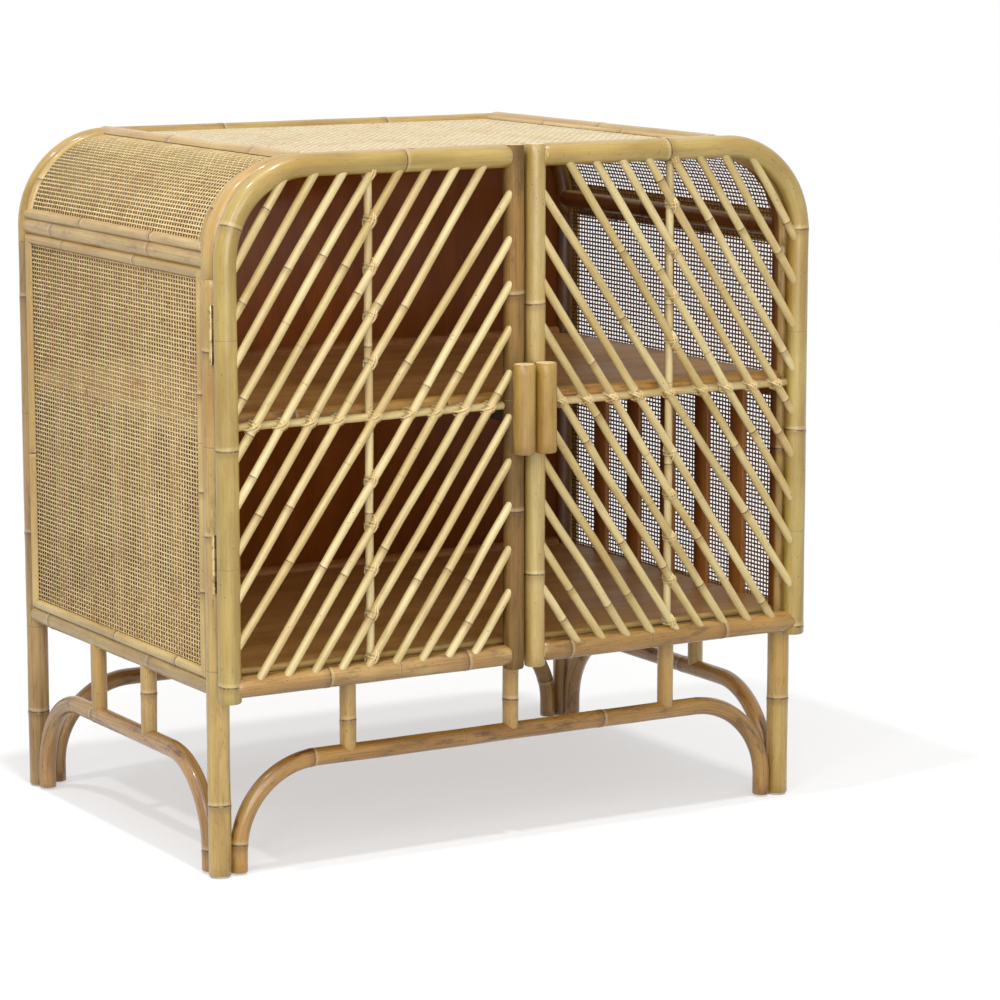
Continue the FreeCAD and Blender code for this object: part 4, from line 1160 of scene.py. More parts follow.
def dress(thing: bpy.types.Object, body: Body, finish: Finish,
          nodes: Sequence[str] = ()) -> bpy.types.Object:
    """Give a finished mesh its finish, its body and the nodes that it stands for.

    Args:
        thing: The piece.
        body: The body that it rides on.
        finish: What it is dressed in.
        nodes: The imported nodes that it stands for.

    Returns:
        The piece.
    """
    bpy.context.scene.collection.objects.link(thing)
    if not thing.data.materials:
        thing.data.materials.append(finish.material())
    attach(thing, body.value)
    if nodes:
        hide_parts(*nodes)
    LOG.info("%s: %d faces, on %s", thing.name, len(thing.data.polygons), body.value)
    return thing


def seed_of(name: str) -> int:
    """A seed from a name, the same in each run."""
    return sum((place + 1) * ord(letter) for place, letter in enumerate(name))


def single(node: str, pole: Pole, body: Body, finish: Finish, tail: str = "pole") -> None:
    """Make a piece of one pole that stands for one node."""
    Shape(seed_of(node)).pole(pole).piece(f"{node}_{tail}", body, finish, (node,))


# ---- the case ----


@dataclass
class Case:
    """Posts, hoops, rails, leg arches, spindles and glides."""

    bury: float = 8.0
    hoop_bend: float = 120.0
    arch_bend: float = 115.0
    spindle_bury: float = 2.0
    glide_radius: float = 13.0
    rings: Mapping[str, Sequence[Ring]] = field(default_factory=lambda: {
        "post_front_left": (("z", 96), ("z", 452), ("z", 690)),
        "post_front_right": (("z", 140), ("z", 498)),
        "post_rear_left": (("z", 368), ("z", 705), ("z", 110)),
        "post_rear_right": (("z", 212), ("z", 560)),
        "hoop_front": (("x", -150), ("x", 236)),
        "hoop_rear": (("x", -139), ("x", 129)),
        "rail_bottom_front": (("x", -270), ("x", 60), ("x", 330)),
        "rail_bottom_rear": (("x", -180), ("x", 205)),
        "rail_bottom_left": (("y", 255), ("y", -72)),
        "rail_bottom_right": (("y", 180), ("y", -130)),
        "rail_mid_left": (("y", 222), ("y", -88)),
        "rail_mid_right": (("y", 90), ("y", -190)),
        "leg_arch_front": (("x", -304), ("x", 143), ("z", 40)),
        "leg_arch_rear": (("x", -90), ("x", 250), ("z", 60)),
        "leg_arch_left": (("y", 120), ("z", 30)),
        "leg_arch_right": (("y", -20), ("z", 44)),
        "spindles_left": (("z", 206),),
        "spindles_front": (("z", 188),),
        "shelf_front_pole": (("x", -330), ("x", -105), ("x", 190), ("x", 372)),
    })

    def build(self) -> None:
        """Build every pole of the case."""
        for end, finish in (("front", FRAME_POLE), ("rear", AGED_POLE)):
            for side, _ in SIDES:
                self.straight(f"post_{end}_{side}", 2, finish, bury=0.0)
        for node in ("hoop_front", "hoop_rear"):
            self.bent(node, 0, self.hoop_bend, FRAME_POLE)
        for node, finish in (("rail_bottom_front", BARE_POLE), ("rail_bottom_rear", BARE_POLE),
                             ("shelf_front_pole", SHELF_POLE)):
            self.straight(node, 0, finish)
        for side, _ in SIDES:
            self.straight(f"rail_bottom_{side}", 1, FRAME_POLE)
            self.straight(f"rail_mid_{side}", 1, FRAME_POLE)
        for name, axis in (("front", 0), ("rear", 0), ("left", 1), ("right", 1)):
            self.bent(f"leg_arch_{name}", axis, self.arch_bend, ARCH_POLE)
        self.spindles()
        self.glides()

    def straight(self, node: str, axis: int, finish: Finish, bury: float | None = None) -> None:
        """A straight pole along one axis, its ends buried in what carries them.

        Args:
            node: The node that it stands for.
            axis: 0, 1 or 2.
            finish: Its finish.
            bury: How far its ends go into their neighbours.
        """
        space = room(node)
        bury = self.bury if bury is None else bury
        start, end = space.middle.copy(), space.middle.copy()
        start[axis], end[axis] = space.low[axis] - bury, space.high[axis] + bury
        diameter = space.size[2] if axis < 2 else space.size[0]
        across = Z if axis == 0 else X
        pole = Pole((start, end), across, Outline.disc(diameter), rings=self.rings.get(node, ()))
        single(node, pole, Body.CABINET, finish)

    def bent(self, node: str, axis: int, bend: float, finish: Finish) -> None:
        """A pole bent twice, whose two ends stand upright.

        Args:
            node: The node that it stands for.
            axis: 0 where it spans the width and 1 where it spans the depth.
            bend: Radius of its bends.
            finish: Its finish.
        """
        space = room(node)
        radius = space.size[1 - axis] / 2
        first, last = space.middle.copy(), space.middle.copy()
        first[axis], last[axis] = space.low[axis] + radius, space.high[axis] - radius
        foot, head = space.low[2], space.high[2] - radius
        corners = [(point[0], point[1], height) for point, height in (
            (first, foot), (first, head), (last, head), (last, foot))]
        pole = Pole(corners, (Y, X)[axis], Outline.disc(2 * radius), bend, self.rings[node])
        single(node, pole, Body.CABINET, finish)

    def spindles(self) -> None:
        """The short uprights between a bottom rail and the arch below it."""
        for name, axis, count in (("front", 0, 3), ("rear", 0, 3), ("left", 1, 2), ("right", 1, 2)):
            node = f"spindles_{name}"
            space = room(node)
            diameter = space.size[1 - axis]
            shape = Shape(seed_of(node))
            for share in np.linspace(0, 1, count):
                low = space.middle.copy()
                low[axis] = (space.low[axis] + diameter / 2) * (1 - share) + share * (
                    space.high[axis] - diameter / 2)
                high = low.copy()
                low[2] = space.low[2] - self.spindle_bury
                high[2] = space.high[2] + self.spindle_bury
                rings = self.rings.get(node, ()) if share < 1 else ()
                shape.pole(Pole((low, high), X, Outline.disc(diameter, 20), rings=rings))
            shape.piece(f"{node}_poles", Body.CABINET, FRAME_POLE, (node,))

    def glides(self) -> None:
        """The glides under the posts."""
        space, radius = room("foot_glides"), self.glide_radius
        shape = Shape(seed_of("glides"))
        for x in (space.low[0] + radius, space.high[0] - radius):
            for y in (space.low[1] + radius, space.high[1] - radius):
                shape.pole(Pole(((x, y, space.low[2]), (x, y, space.high[2])), X,
                                Outline.disc(2 * radius, 28), bevel=0.6, wander=0.0))
        shape.piece("foot_glides_moulded", Body.CABINET, GLIDE, ("foot_glides",))


@dataclass
class Trim:
    """Half-round beading on the sides and top, split-pole rails and beading inside."""

    bead: tuple[float, float] = (14.0, 6.0)
    top_rail: tuple[float, float] = (26.0, 9.0)
    top_bead: tuple[float, float] = (10.0, 4.0)
    shoulder_centre: tuple[float, float] = (320.0, 802.0)
    shoulder_radius: float = 128.0
    shoulder_sink: float = 0.3
    curved_bead: tuple[float, float] = (11.0, 4.5)
    curved_sink: float = 0.6
    curved_end: float = 88.5
    curved_steps: int = 22
    inner_bead: float = 10.0
    rail_bite: float = 8.0
    rings: Mapping[str, Sequence[Ring]] = field(default_factory=lambda: {
        "shoulder": (("y", -96), ("y", 124)),
        "head": (("y", -46), ("y", 184)),
        "foot": (("y", 30), ("y", -160)),
        "front": (("z", 632), ("z", 506), ("z", 376)),
        "rear": (("z", 485),),
        "curved": (("z", 868.0),),
        "rail_left": (("y", 96), ("y", -150)),
        "rail_right": (("y", 20),),
        "top": (("y", 150), ("y", -60)),
    })

    def build(self) -> None:
        """Build all of the trim."""
        for side, sign in SIDES:
            self.side_frame(side, sign)
            self.top_rail_of(side)
        self.top_beads()
        self.inner_beads()

    def strip(self, shape: Shape, start: Point, end: Point, inward: np.ndarray, out: np.ndarray,
              size: tuple[float, float], rings: Sequence[Ring] = (), mitre: float = 0.0) -> None:
        """Add a half-round strip whose outer edge runs between two points.

        Args:
            shape: What it is added to.
            start: One end of its outer edge.
            end: The other end.
            inward: Direction of its width.
            out: Direction in which its round side faces.
            size: Its width and height.
            rings: Its growth rings.
            mitre: 1 where its ends are mitred.
        """
        start, end = np.array(start, float), np.array(end, float)
        if np.cross(end - start, inward) @ out < 0:
            start, end = end, start
        shape.pole(Pole((start, end), inward, Outline.half_round(*size), rings=rings,
                        mitres=(mitre, mitre), bevel=0.3, wander=0.0))

    def side_frame(self, side: str, sign: int) -> None:
        """The mitred frame on the flat webbing and the strip at the foot of the shoulder.

        Args:
            side: left or right.
            sign: -1 on the left and 1 on the right.
        """
        node = f"beading_side_{side}"
        space = room(node)
        x = (space.high if sign > 0 else space.low)[0] - sign * self.bead[1]
        low_y, high_y, low_z = space.low[1], space.high[1], space.low[2]
        rail = room(f"rail_mid_{side}")
        high_z = rail.middle[2] - math.sqrt((rail.size[2] / 2) ** 2 - self.rail_bite ** 2)
        out = sign * X
        shape = Shape(seed_of(node))
        corners = {"foot": ((x, low_y, low_z), (x, high_y, low_z), Z),
                   "head": ((x, low_y, high_z), (x, high_y, high_z), -Z),
                   "rear": ((x, high_y, low_z), (x, high_y, high_z), -Y),
                   "front": ((x, low_y, low_z), (x, low_y, high_z), Y)}
        for name, (start, end, inward) in corners.items():
            self.strip(shape, start, end, inward, out, self.bead, self.rings[name], 1.0)
        lift = math.asin((space.high[2] - self.bead[0] / 2 - self.shoulder_centre[1])
                         / self.shoulder_radius)
        normal = np.array((sign * math.cos(lift), 0, math.sin(lift)))
        rise = np.array((-sign * math.sin(lift), 0, math.cos(lift)))
        middle = np.array((sign * self.shoulder_centre[0], 0, self.shoulder_centre[1])) \
            + normal * (self.shoulder_radius - self.shoulder_sink) - rise * self.bead[0] / 2
        self.strip(shape, middle + Y * low_y, middle + Y * high_y, rise, normal, self.bead,
                   self.rings["shoulder"])
        shape.piece(f"{node}_strips", Body.CABINET, SPLIT_CANE, (node,))
        self.curved_beads(side, sign, lift, low_y, high_y)

    def curved_beads(self, side: str, sign: int, lift: float, front: float, rear: float) -> None:
        """A half-round bead over the shoulder beside each hoop.

        Args:
            side: left or right.
            sign: -1 on the left and 1 on the right.
            lift: The angle at which the shoulder starts, in radians.
            front: Where the webbing starts.
            rear: Where it ends.
        """
        shape = Shape(seed_of(f"curved_beads_{side}"))
        turn = np.linspace(lift, math.radians(self.curved_end), self.curved_steps)
        radius = self.shoulder_radius - self.curved_sink
        x = sign * (self.shoulder_centre[0] + radius * np.cos(turn))
        z = self.shoulder_centre[1] + radius * np.sin(turn)
        for y in (front, rear - self.curved_bead[0]):
            route = np.stack([x, np.full(len(turn), y), z], 1)
            shape.pole(Pole(route[::-sign], Y, Outline.half_round(*self.curved_bead),
                            rings=self.rings["curved"], bevel=0.3, wander=0.0, step=5.0))
        shape.piece(f"shoulder_beads_{side}", Body.CABINET, SPLIT_CANE)

    def top_rail_of(self, side: str) -> None:
        """A split-pole rail where a shoulder meets the top.

        Args:
            side: left or right.
        """
        node = f"rail_top_{side}"
        (x, low, z), high = room(node).low, room(node).high[1]
        shape = Shape(seed_of(node))
        self.strip(shape, (x, low, z), (x, high, z), X, Z, self.top_rail,
                   self.rings[f"rail_{side}"])
        shape.piece(f"{node}_split", Body.CABINET, SPLIT_CANE, (node,))

    def top_beads(self) -> None:
        """The thin bead along each rail of the top."""
        space = room("beading_top")
        shape = Shape(seed_of("beading_top"))
        for x in (space.low[0], space.high[0] - self.top_bead[0]):
            self.strip(shape, (x, space.low[1], space.low[2]), (x, space.high[1], space.low[2]),
                       X, Z, self.top_bead, self.rings["top"])
        shape.piece("beading_top_strips", Body.CABINET, SPLIT_CANE, ("beading_top",))

    def inner_beads(self) -> None:
        """Quarter rounds along the back, and the rounded front edge of the floor."""
        space = room("inner_beading")
        back = room("back_panel").low[1]
        floor, shelf = room("floor_panel"), room("shelf_panel")
        corner, half = (self.inner_bead, 90, 180), (floor.size[2] / 2, 90, 270)
        for name, finish, nodes, strips in (
                ("inner_beading_strips", BATTEN_BOARD, ("inner_beading",),
                 ((back, floor.high[2], corner), (back, shelf.high[2], corner))),
                ("inner_beading_front", SPLIT_CANE, (),
                 ((floor.low[1], floor.middle[2], half),))):
            shape = Shape(seed_of(name))
            for y, z, outline in strips:
                start, end = (space.low[0], y, z), (space.high[0], y, z)
                shape.pole(Pole((start, end), Y, Outline.sector(*outline, 8), bevel=0.2,
                                wander=0.0))
            shape.piece(name, Body.CABINET, finish, nodes)


# ---- webbing ----


@functools.cache
def strand_tree() -> bpy.types.NodeTree:
    """Parallel strands that pass over and under a crossing set, lying flat in X and Y.

    Returns:
        The geometry tree.
    """
    graph, take, end = new_group(
        "woven_strands", "GeometryNodeTree",
        {"Length": (FLOAT, 0.5), "Count": (INTEGER, 10), "Pitch": (FLOAT, 0.006),
         "Cross Count": (INTEGER, 10), "Cross Pitch": (FLOAT, 0.0077), "Lift": (FLOAT, 0.0004),
         "Width": (FLOAT, 0.0035), "Thickness": (FLOAT, 0.0007), "Wander": (FLOAT, 0.0003),
         "Seed": (INTEGER, 1), "Material": (MATERIAL, None)},
        {"Geometry": GEOMETRY})
    drift_scale, seed_step = 45.0, 0.7
    rows = graph.first("GeometryNodeMeshLine", {
        "Count": take["Count"], "Start Location": graph.xyz(0.0, graph.times(take["Pitch"], 0.5)),
        "Offset": graph.xyz(0.0, take["Pitch"])})
    line = graph.first("GeometryNodeCurvePrimitiveLine", {"End": graph.xyz(take["Length"])})
    steps = graph.math("MULTIPLY_ADD", take["Cross Count"], 2.0, 1.0)
    line = graph.first("GeometryNodeResampleCurve", {"Curve": line, "Count": steps})
    strands = graph.first("GeometryNodeInstanceOnPoints", {"Points": rows, "Instance": line})
    index = graph.first("GeometryNodeInputIndex")
    strands = graph.store(strands, "strand", index, domain="INSTANCE")
    lot = graph.chance({"ID": index, "Seed": take["Seed"]})
    strands = graph.store(strands, "tone", lot, domain="INSTANCE")
    loose = graph.first("GeometryNodeRealizeInstances", {"Geometry": strands})
    strand = graph.first("GeometryNodeInputNamedAttribute", {"Name": "strand"}, data_type="FLOAT")
    spot = graph.first("GeometryNodeInputPosition")
    crossing = graph.math("DIVIDE", graph.part(spot, 0), take["Cross Pitch"])
    wave = graph.math("SINE", graph.times(graph.math("ADD", crossing, strand), math.pi))
    apart = graph.xyz(0.0, 0.0, graph.times(take["Seed"], seed_step))
    drift = graph.noise(graph.vector("ADD", spot, apart), drift_scale)
    sideways = graph.times(graph.math("SUBTRACT", drift, 0.5), take["Wander"])
    woven = graph.first("GeometryNodeSetPosition", {
        "Geometry": graph.store(loose, "grain", spot, "FLOAT_VECTOR"),
        "Offset": graph.xyz(0.0, sideways, graph.times(wave, take["Lift"]))})
    upright = graph.first("GeometryNodeSetCurveNormal", {"Curve": woven}, mode="Z_UP")
    section = graph.section(4, take["Width"], take["Thickness"])
    skin = graph.first("GeometryNodeCurveToMesh", {"Curve": upright, "Profile Curve": section,
                                                   "Fill Caps": True})
    return finish_group(graph, end, graph.dressed(skin, take["Material"]))


def grow(name: str, tree: bpy.types.NodeTree, values: Mapping,
         base: bpy.types.Mesh | None = None) -> bpy.types.Object:
    """Run a geometry tree and keep its result as a plain mesh.

    Args:
        name: Name of the piece.
        tree: The tree.
        values: Values of its inputs, by name.
        base: The mesh that it starts from, if it needs one.

    Returns:
        An object with the result.
    """
    base = base or bpy.data.meshes.new(f"{name}_base")
    maker = bpy.data.objects.new(f"{name}_maker", base)
    bpy.context.scene.collection.objects.link(maker)
    modifier = maker.modifiers.new("grow", "NODES")
    modifier.node_group = tree
    for item in tree.interface.items_tree:
        if item.item_type == "SOCKET" and item.in_out == "INPUT" and item.name in values:
            modifier[item.identifier] = values[item.name]
    state = bpy.context.evaluated_depsgraph_get()
    mesh = bpy.data.meshes.new_from_object(maker.evaluated_get(state), depsgraph=state)
    bpy.data.objects.remove(maker)
    mesh.name = name
    mesh.polygons.foreach_set("use_smooth", [True] * len(mesh.polygons))
    return bpy.data.objects.new(name, mesh)


@dataclass
class Webbing:
    """Woven cane over the sides, the shoulders and the top."""

    rise_pitch: float = 5.9
    depth_pitch: float = 7.7
    weft_width: float = 2.6
    warp_width: float = 3.3
    top_spread: float = 1.55
    thickness: float = 0.7
    lift: float = 0.34
    wander: float = 0.9
    shoulder_radius: float = 127.0
    shoulder_centre: tuple[float, float] = (320.0, 802.0)

    def build(self) -> None:
        """Weave all five panels."""
        for side, sign in SIDES:
            self.panel(f"webbing_side_{side}", "side", sign)
            self.panel(f"webbing_shoulder_{side}", "shoulder", sign)
        self.panel("webbing_top", "top", 1)

    def panel(self, node: str, kind: str, sign: int) -> None:
        """Weave one panel: strands along its depth, and strands across them.

        Args:
            node: The node that it stands for.
            kind: side, shoulder or top.
            sign: -1 on the left and 1 on the right.
        """
        space = room(node)
        depth = space.size[1]
        rise = {"side": space.size[2], "top": space.size[0],
                "shoulder": self.shoulder_radius * math.pi / 2}[kind]
        across = round(rise / self.rise_pitch)
        along = round(depth / self.depth_pitch)
        # The top takes the paler webbing, partly painted light from above, and wider strands.
        finish, spread = (TOP_WEBBING, self.top_spread) if kind == "top" else (WEBBING, 1.0)
        for weave, seed in (("weft", 1), ("warp", 2)):
            weft = weave == "weft"
            length, count, crossings = (depth, across, along) if weft else (rise, along, across)
            pitch = (rise if weft else depth) / count
            values = {"Length": length * MM, "Count": count, "Pitch": pitch * MM,
                      "Cross Count": crossings, "Cross Pitch": length / crossings * MM,
                      "Lift": (self.lift if weft else -self.lift) * MM,
                      "Width": (self.weft_width if weft else self.warp_width) * spread * MM,
                      "Thickness": self.thickness * MM, "Wander": self.wander * MM,
                      "Seed": seed_of(node) + seed, "Material": finish.material()}
            piece = grow(f"{node}_{weave}", strand_tree(), values)
            self.wrap(piece.data, space, kind, sign, weft)
            dress(piece, Body.CABINET, finish, (node,))

    def wrap(self, mesh: bpy.types.Mesh, space: Room, kind: str, sign: int, weft: bool) -> None:
        """Lay flat strands onto their panel.

        Args:
            mesh: The strands.
            space: The panel's box.
            kind: side, shoulder or top.
            sign: -1 on the left and 1 on the right.
            weft: Whether the strands run along the depth.
        """
        flat = np.zeros(len(mesh.vertices) * 3, np.float32)
        mesh.vertices.foreach_get("co", flat)
        flat = flat.reshape(-1, 3) / MM
        deep, up = (flat[:, 0], flat[:, 1]) if weft else (flat[:, 1], flat[:, 0])
        out = flat[:, 2]
        y = space.low[1] + deep
        if kind == "side":
            x, z = space.middle[0] + sign * out, space.low[2] + up
        elif kind == "top":
            x, z = space.low[0] + up, space.middle[2] + out
        else:
            turn = up / self.shoulder_radius
            x = sign * (self.shoulder_centre[0] + (self.shoulder_radius + out) * np.cos(turn))
            z = self.shoulder_centre[1] + (self.shoulder_radius + out) * np.sin(turn)
        mesh.vertices.foreach_set("co", (np.stack([x, y, z], 1) * MM).astype(np.float32).ravel())
        mirrored = kind == "top" or (kind == "side") == (sign > 0)
        if mirrored == weft:
            mesh.flip_normals()
        mesh.update()


# ---- boards ----


@dataclass
class Boards:
    """Back, floor, shelf, top board, bearers and slats."""

    back_inset: float = 14.4
    back_bend: float = 105.6
    hoop_radius: float = 15.0
    slat_width: float = 33.0
    packed_slat_width: float = 40.0
    slat_thickness: float = 8.0
    slat_count: int = 5

    def build(self) -> None:
        """Dress the boards, and make the back with rounded corners."""
        space, hoop = room("back_panel"), room("hoop_rear")
        half = hoop.high[0] - self.hoop_radius - self.back_inset
        high = hoop.high[2] - self.hoop_radius - self.back_inset
        line = centre_line(((-half, 0, space.low[2]), (-half, 0, high), (half, 0, high),
                            (half, 0, space.low[2])), self.back_bend, 8.0)
        plate = Shape(seed_of("back")).slab(line[:, (0, 2)], space.low[1], space.high[1],
                                            np.array((X, Z, Y)))
        plate.piece("back_panel_board", Body.CABINET, BACK_BOARD, ("back_panel",))
        self.slats()
        for node, finish in (("floor_panel", PANEL_BOARD), ("shelf_panel", PANEL_BOARD),
                             ("top_board", PANEL_BOARD), ("shelf_bearers", BATTEN_BOARD),
                             ("door_catches", CATCH),
                             ("strike_plate_left", STEEL), ("strike_plate_right", STEEL)):
            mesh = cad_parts[node].data
            mesh.materials.clear()
            mesh.materials.append(finish.material())
            LOG.info("%s: dressed as packed", node)

    def slats(self) -> None:
        """Upright slats with eased edges inside the lower sides."""
        space = room("wall_slats")
        shape = Shape(seed_of("wall_slats"))
        thickness = self.slat_thickness
        reach = space.size[1] - self.packed_slat_width
        for _, sign in SIDES:
            x = sign * (space.high[0] - thickness / 2)
            for step in np.linspace(-0.5, 0.5, self.slat_count):
                y = space.middle[1] + step * reach
                shape.pole(Pole(((x, y, space.low[2]), (x, y, space.high[2])), Y,
                                Outline.bar(self.slat_width, thickness, 1.2), bevel=0.0,
                                wander=0.0, step=60.0))
        shape.piece("wall_slats_eased", Body.CABINET, BATTEN_BOARD, ("wall_slats",))


# ---- hinges ----


@functools.cache
def screw_tree() -> bpy.types.NodeTree:
    """A screw head on each point of a mesh, turned at random about its axis.

    Returns:
        The geometry tree.
    """
    graph, take, end = new_group(
        "screw_heads", "GeometryNodeTree",
        {"Geometry": (GEOMETRY, None), "Radius": (FLOAT, 0.0028), "Height": (FLOAT, 0.0006),
         "Slot": (FLOAT, 0.0008), "Seed": (INTEGER, 1), "Material": (MATERIAL, None)},
        {"Geometry": GEOMETRY})
    taper, overlap, slot_lift, most_turn = 0.86, 1.1, 0.9, 3.1
    head = graph.first("GeometryNodeMeshCone", {
        "Vertices": 16, "Radius Top": graph.times(take["Radius"], taper),
        "Radius Bottom": take["Radius"], "Depth": take["Height"]})
    size = graph.xyz(graph.times(take["Radius"], overlap), take["Slot"], take["Height"])
    lifted = graph.xyz(0.0, 0.0, graph.times(take["Height"], slot_lift))
    cross = graph.add("GeometryNodeMeshBoolean", operation="DIFFERENCE")
    graph.tree.links.new(head, cross.inputs[0])
    for turn in (0.0, math.pi / 2):
        bar = graph.first("GeometryNodeTransform", {
            "Geometry": graph.first("GeometryNodeMeshCube", {"Size": size}),
            "Translation": lifted, "Rotation": (0.0, 0.0, turn)})
        graph.tree.links.new(bar, cross.inputs[1])
    facing = graph.first("GeometryNodeInputNormal")
    aligned = graph.first("FunctionNodeAlignRotationToVector", {"Vector": facing}, axis="Z")
    heads = graph.first("GeometryNodeInstanceOnPoints", {
        "Points": take["Geometry"], "Instance": cross.outputs[0], "Rotation": aligned})
    angle = graph.chance({"Seed": take["Seed"], 2: 0.0, 3: most_turn})
    turned = graph.first("GeometryNodeRotateInstances",
                         {"Instances": heads, "Rotation": graph.xyz(0.0, 0.0, angle)})
    return finish_group(graph, end, graph.dressed(turned, take["Material"]))


@dataclass
class Hinges:
    """Butt hinges: leaves with knuckles, pins and screws.

    leaf_faces are the leaf's two faces, out from the hinge's axis; button is the pin head's
    diameter and height.
    """

    axis: tuple[float, float] = (452.0, -276.0)
    heights: tuple[float, float] = (712.0, 417.0)
    length: float = 75.0
    knuckles: int = 5
    knuckle_dia: float = 6.0
    clearance: float = 0.4
    gap: float = 0.15
    pin_dia: float = 2.4
    button: tuple[float, float] = (3.8, 1.0)
    leaf_width: float = 17.5
    leaf_faces: tuple[float, float] = (2.0, 3.4)
    screw: Mapping[str, float] = field(default_factory=lambda: {
        "Radius": 2.6 * MM, "Height": 0.6 * MM, "Slot": 0.7 * MM})
    screw_sink: float = 0.05
    screw_spots: tuple[tuple[float, float], ...] = ((-9.5, -26.0), (-9.5, 26.0), (-12.0, 0.0))

    def build(self) -> None:
        """Build the case's leaves, each door's leaves and the pins."""
        case = Shape(seed_of("hinge_leaves_case"))
        pins = Shape(seed_of("hinge_pins"))
        for side, sign in SIDES:
            door = Shape(seed_of(f"hinge_leaves_{side}"))
            for height in self.heights:
                self.add_leaf(case, sign, 1, height)
                self.add_leaf(door, sign, -1, height)
                self.add_pin(pins, sign, height)
            node = f"hinge_leaves_{side}_door"
            door.piece(f"{node}_brass", DOOR_BODY[side], BRASS, (node,))
            self.screws(f"hinge_screws_{side}_door", ((side, sign),), -1, DOOR_BODY[side])
        case.piece("hinge_leaves_case_brass", Body.CABINET, BRASS, ("hinge_leaves_case",))
        pins.piece("hinge_pins_brass", Body.CABINET, BRASS, ("hinge_pins",))
        self.screws("hinge_screws_case", SIDES, 1, Body.CABINET)

    def add_leaf(self, shape: Shape, sign: int, facing: int, height: float) -> None:
        """Add a leaf, notched round the other leaf's knuckles, and its own knuckles.

        Args:
            shape: What it is added to.
            sign: -1 on the left and 1 on the right.
            facing: 1 on the post and -1 on the door.
            height: The middle of the hinge.
        """
        x, y = sign * self.axis[0], self.axis[1]
        cell = self.length / self.knuckles
        foot = height - self.length / 2
        inner = x - sign * self.leaf_width
        notch = x - sign * (self.knuckle_dia / 2 + self.clearance)
        outline = [(inner, foot + self.length), (inner, foot)]
        for index in range(self.knuckles):
            own = (index % 2 == 0) == (facing > 0)
            low, high = foot + index * cell, foot + (index + 1) * cell
            edge = x if own else notch
            below = self.gap if own and index else 0
            above = self.gap if own and index < self.knuckles - 1 else 0
            outline += [(edge, low + below), (edge, high - above)]
            if own:
                ends = ((x, y, low + self.gap), (x, y, high - self.gap))
                shape.pole(Pole(ends, X, Outline.disc(self.knuckle_dia, 20), bevel=0.35,
                                wander=0.0, step=20))
        near, far = sorted(y + facing * face for face in self.leaf_faces)
        shape.slab(outline, near, far, np.array((X, Z, Y)))

    def add_pin(self, shape: Shape, sign: int, height: float) -> None:
        """Add a pin with its button head.

        Args:
            shape: What it is added to.
            sign: -1 on the left and 1 on the right.
            height: The middle of the hinge.
        """
        x, y = sign * self.axis[0], self.axis[1]
        low, high = height - self.length / 2, height + self.length / 2
        for start, end, diameter in ((low + self.gap, high, self.pin_dia),
                                     (high - self.gap, high + self.button[1], self.button[0])):
            shape.pole(Pole(((x, y, start), (x, y, end)), X, Outline.disc(diameter, 16),
                            bevel=0.3, wander=0.0, step=90))

    def screws(self, name: str, sides: Sequence[tuple[str, int]], facing: int, body: Body) -> None:
        """Set screws into the leaves of one body.

        Args:
            name: Name of the piece.
            sides: The sides that the body has leaves on.
            facing: 1 on the post and -1 on the door.
            body: The body.
        """
        y = self.axis[1] + facing * (self.leaf_faces[0] + self.screw_sink)
        corners, faces = [], []
        for _, sign in sides:
            for height in self.heights:
                for inward, rise in self.screw_spots:
                    x, z = sign * (self.axis[0] + inward) * MM, (height + rise) * MM
                    first = len(corners)
                    corners += [(x, y * MM, z), (x + SPOT, y * MM, z), (x, y * MM, z + SPOT)]
                    faces.append((first, first + 1, first + 2)[::facing])
        spots = bpy.data.meshes.new(f"{name}_spots")
        spots.from_pydata(corners, [], faces)
        piece = grow(name, screw_tree(), {**self.screw, "Seed": seed_of(name),
                                          "Material": BRASS.material()}, spots)
        dress(piece, body, BRASS)


# ---- doors ----


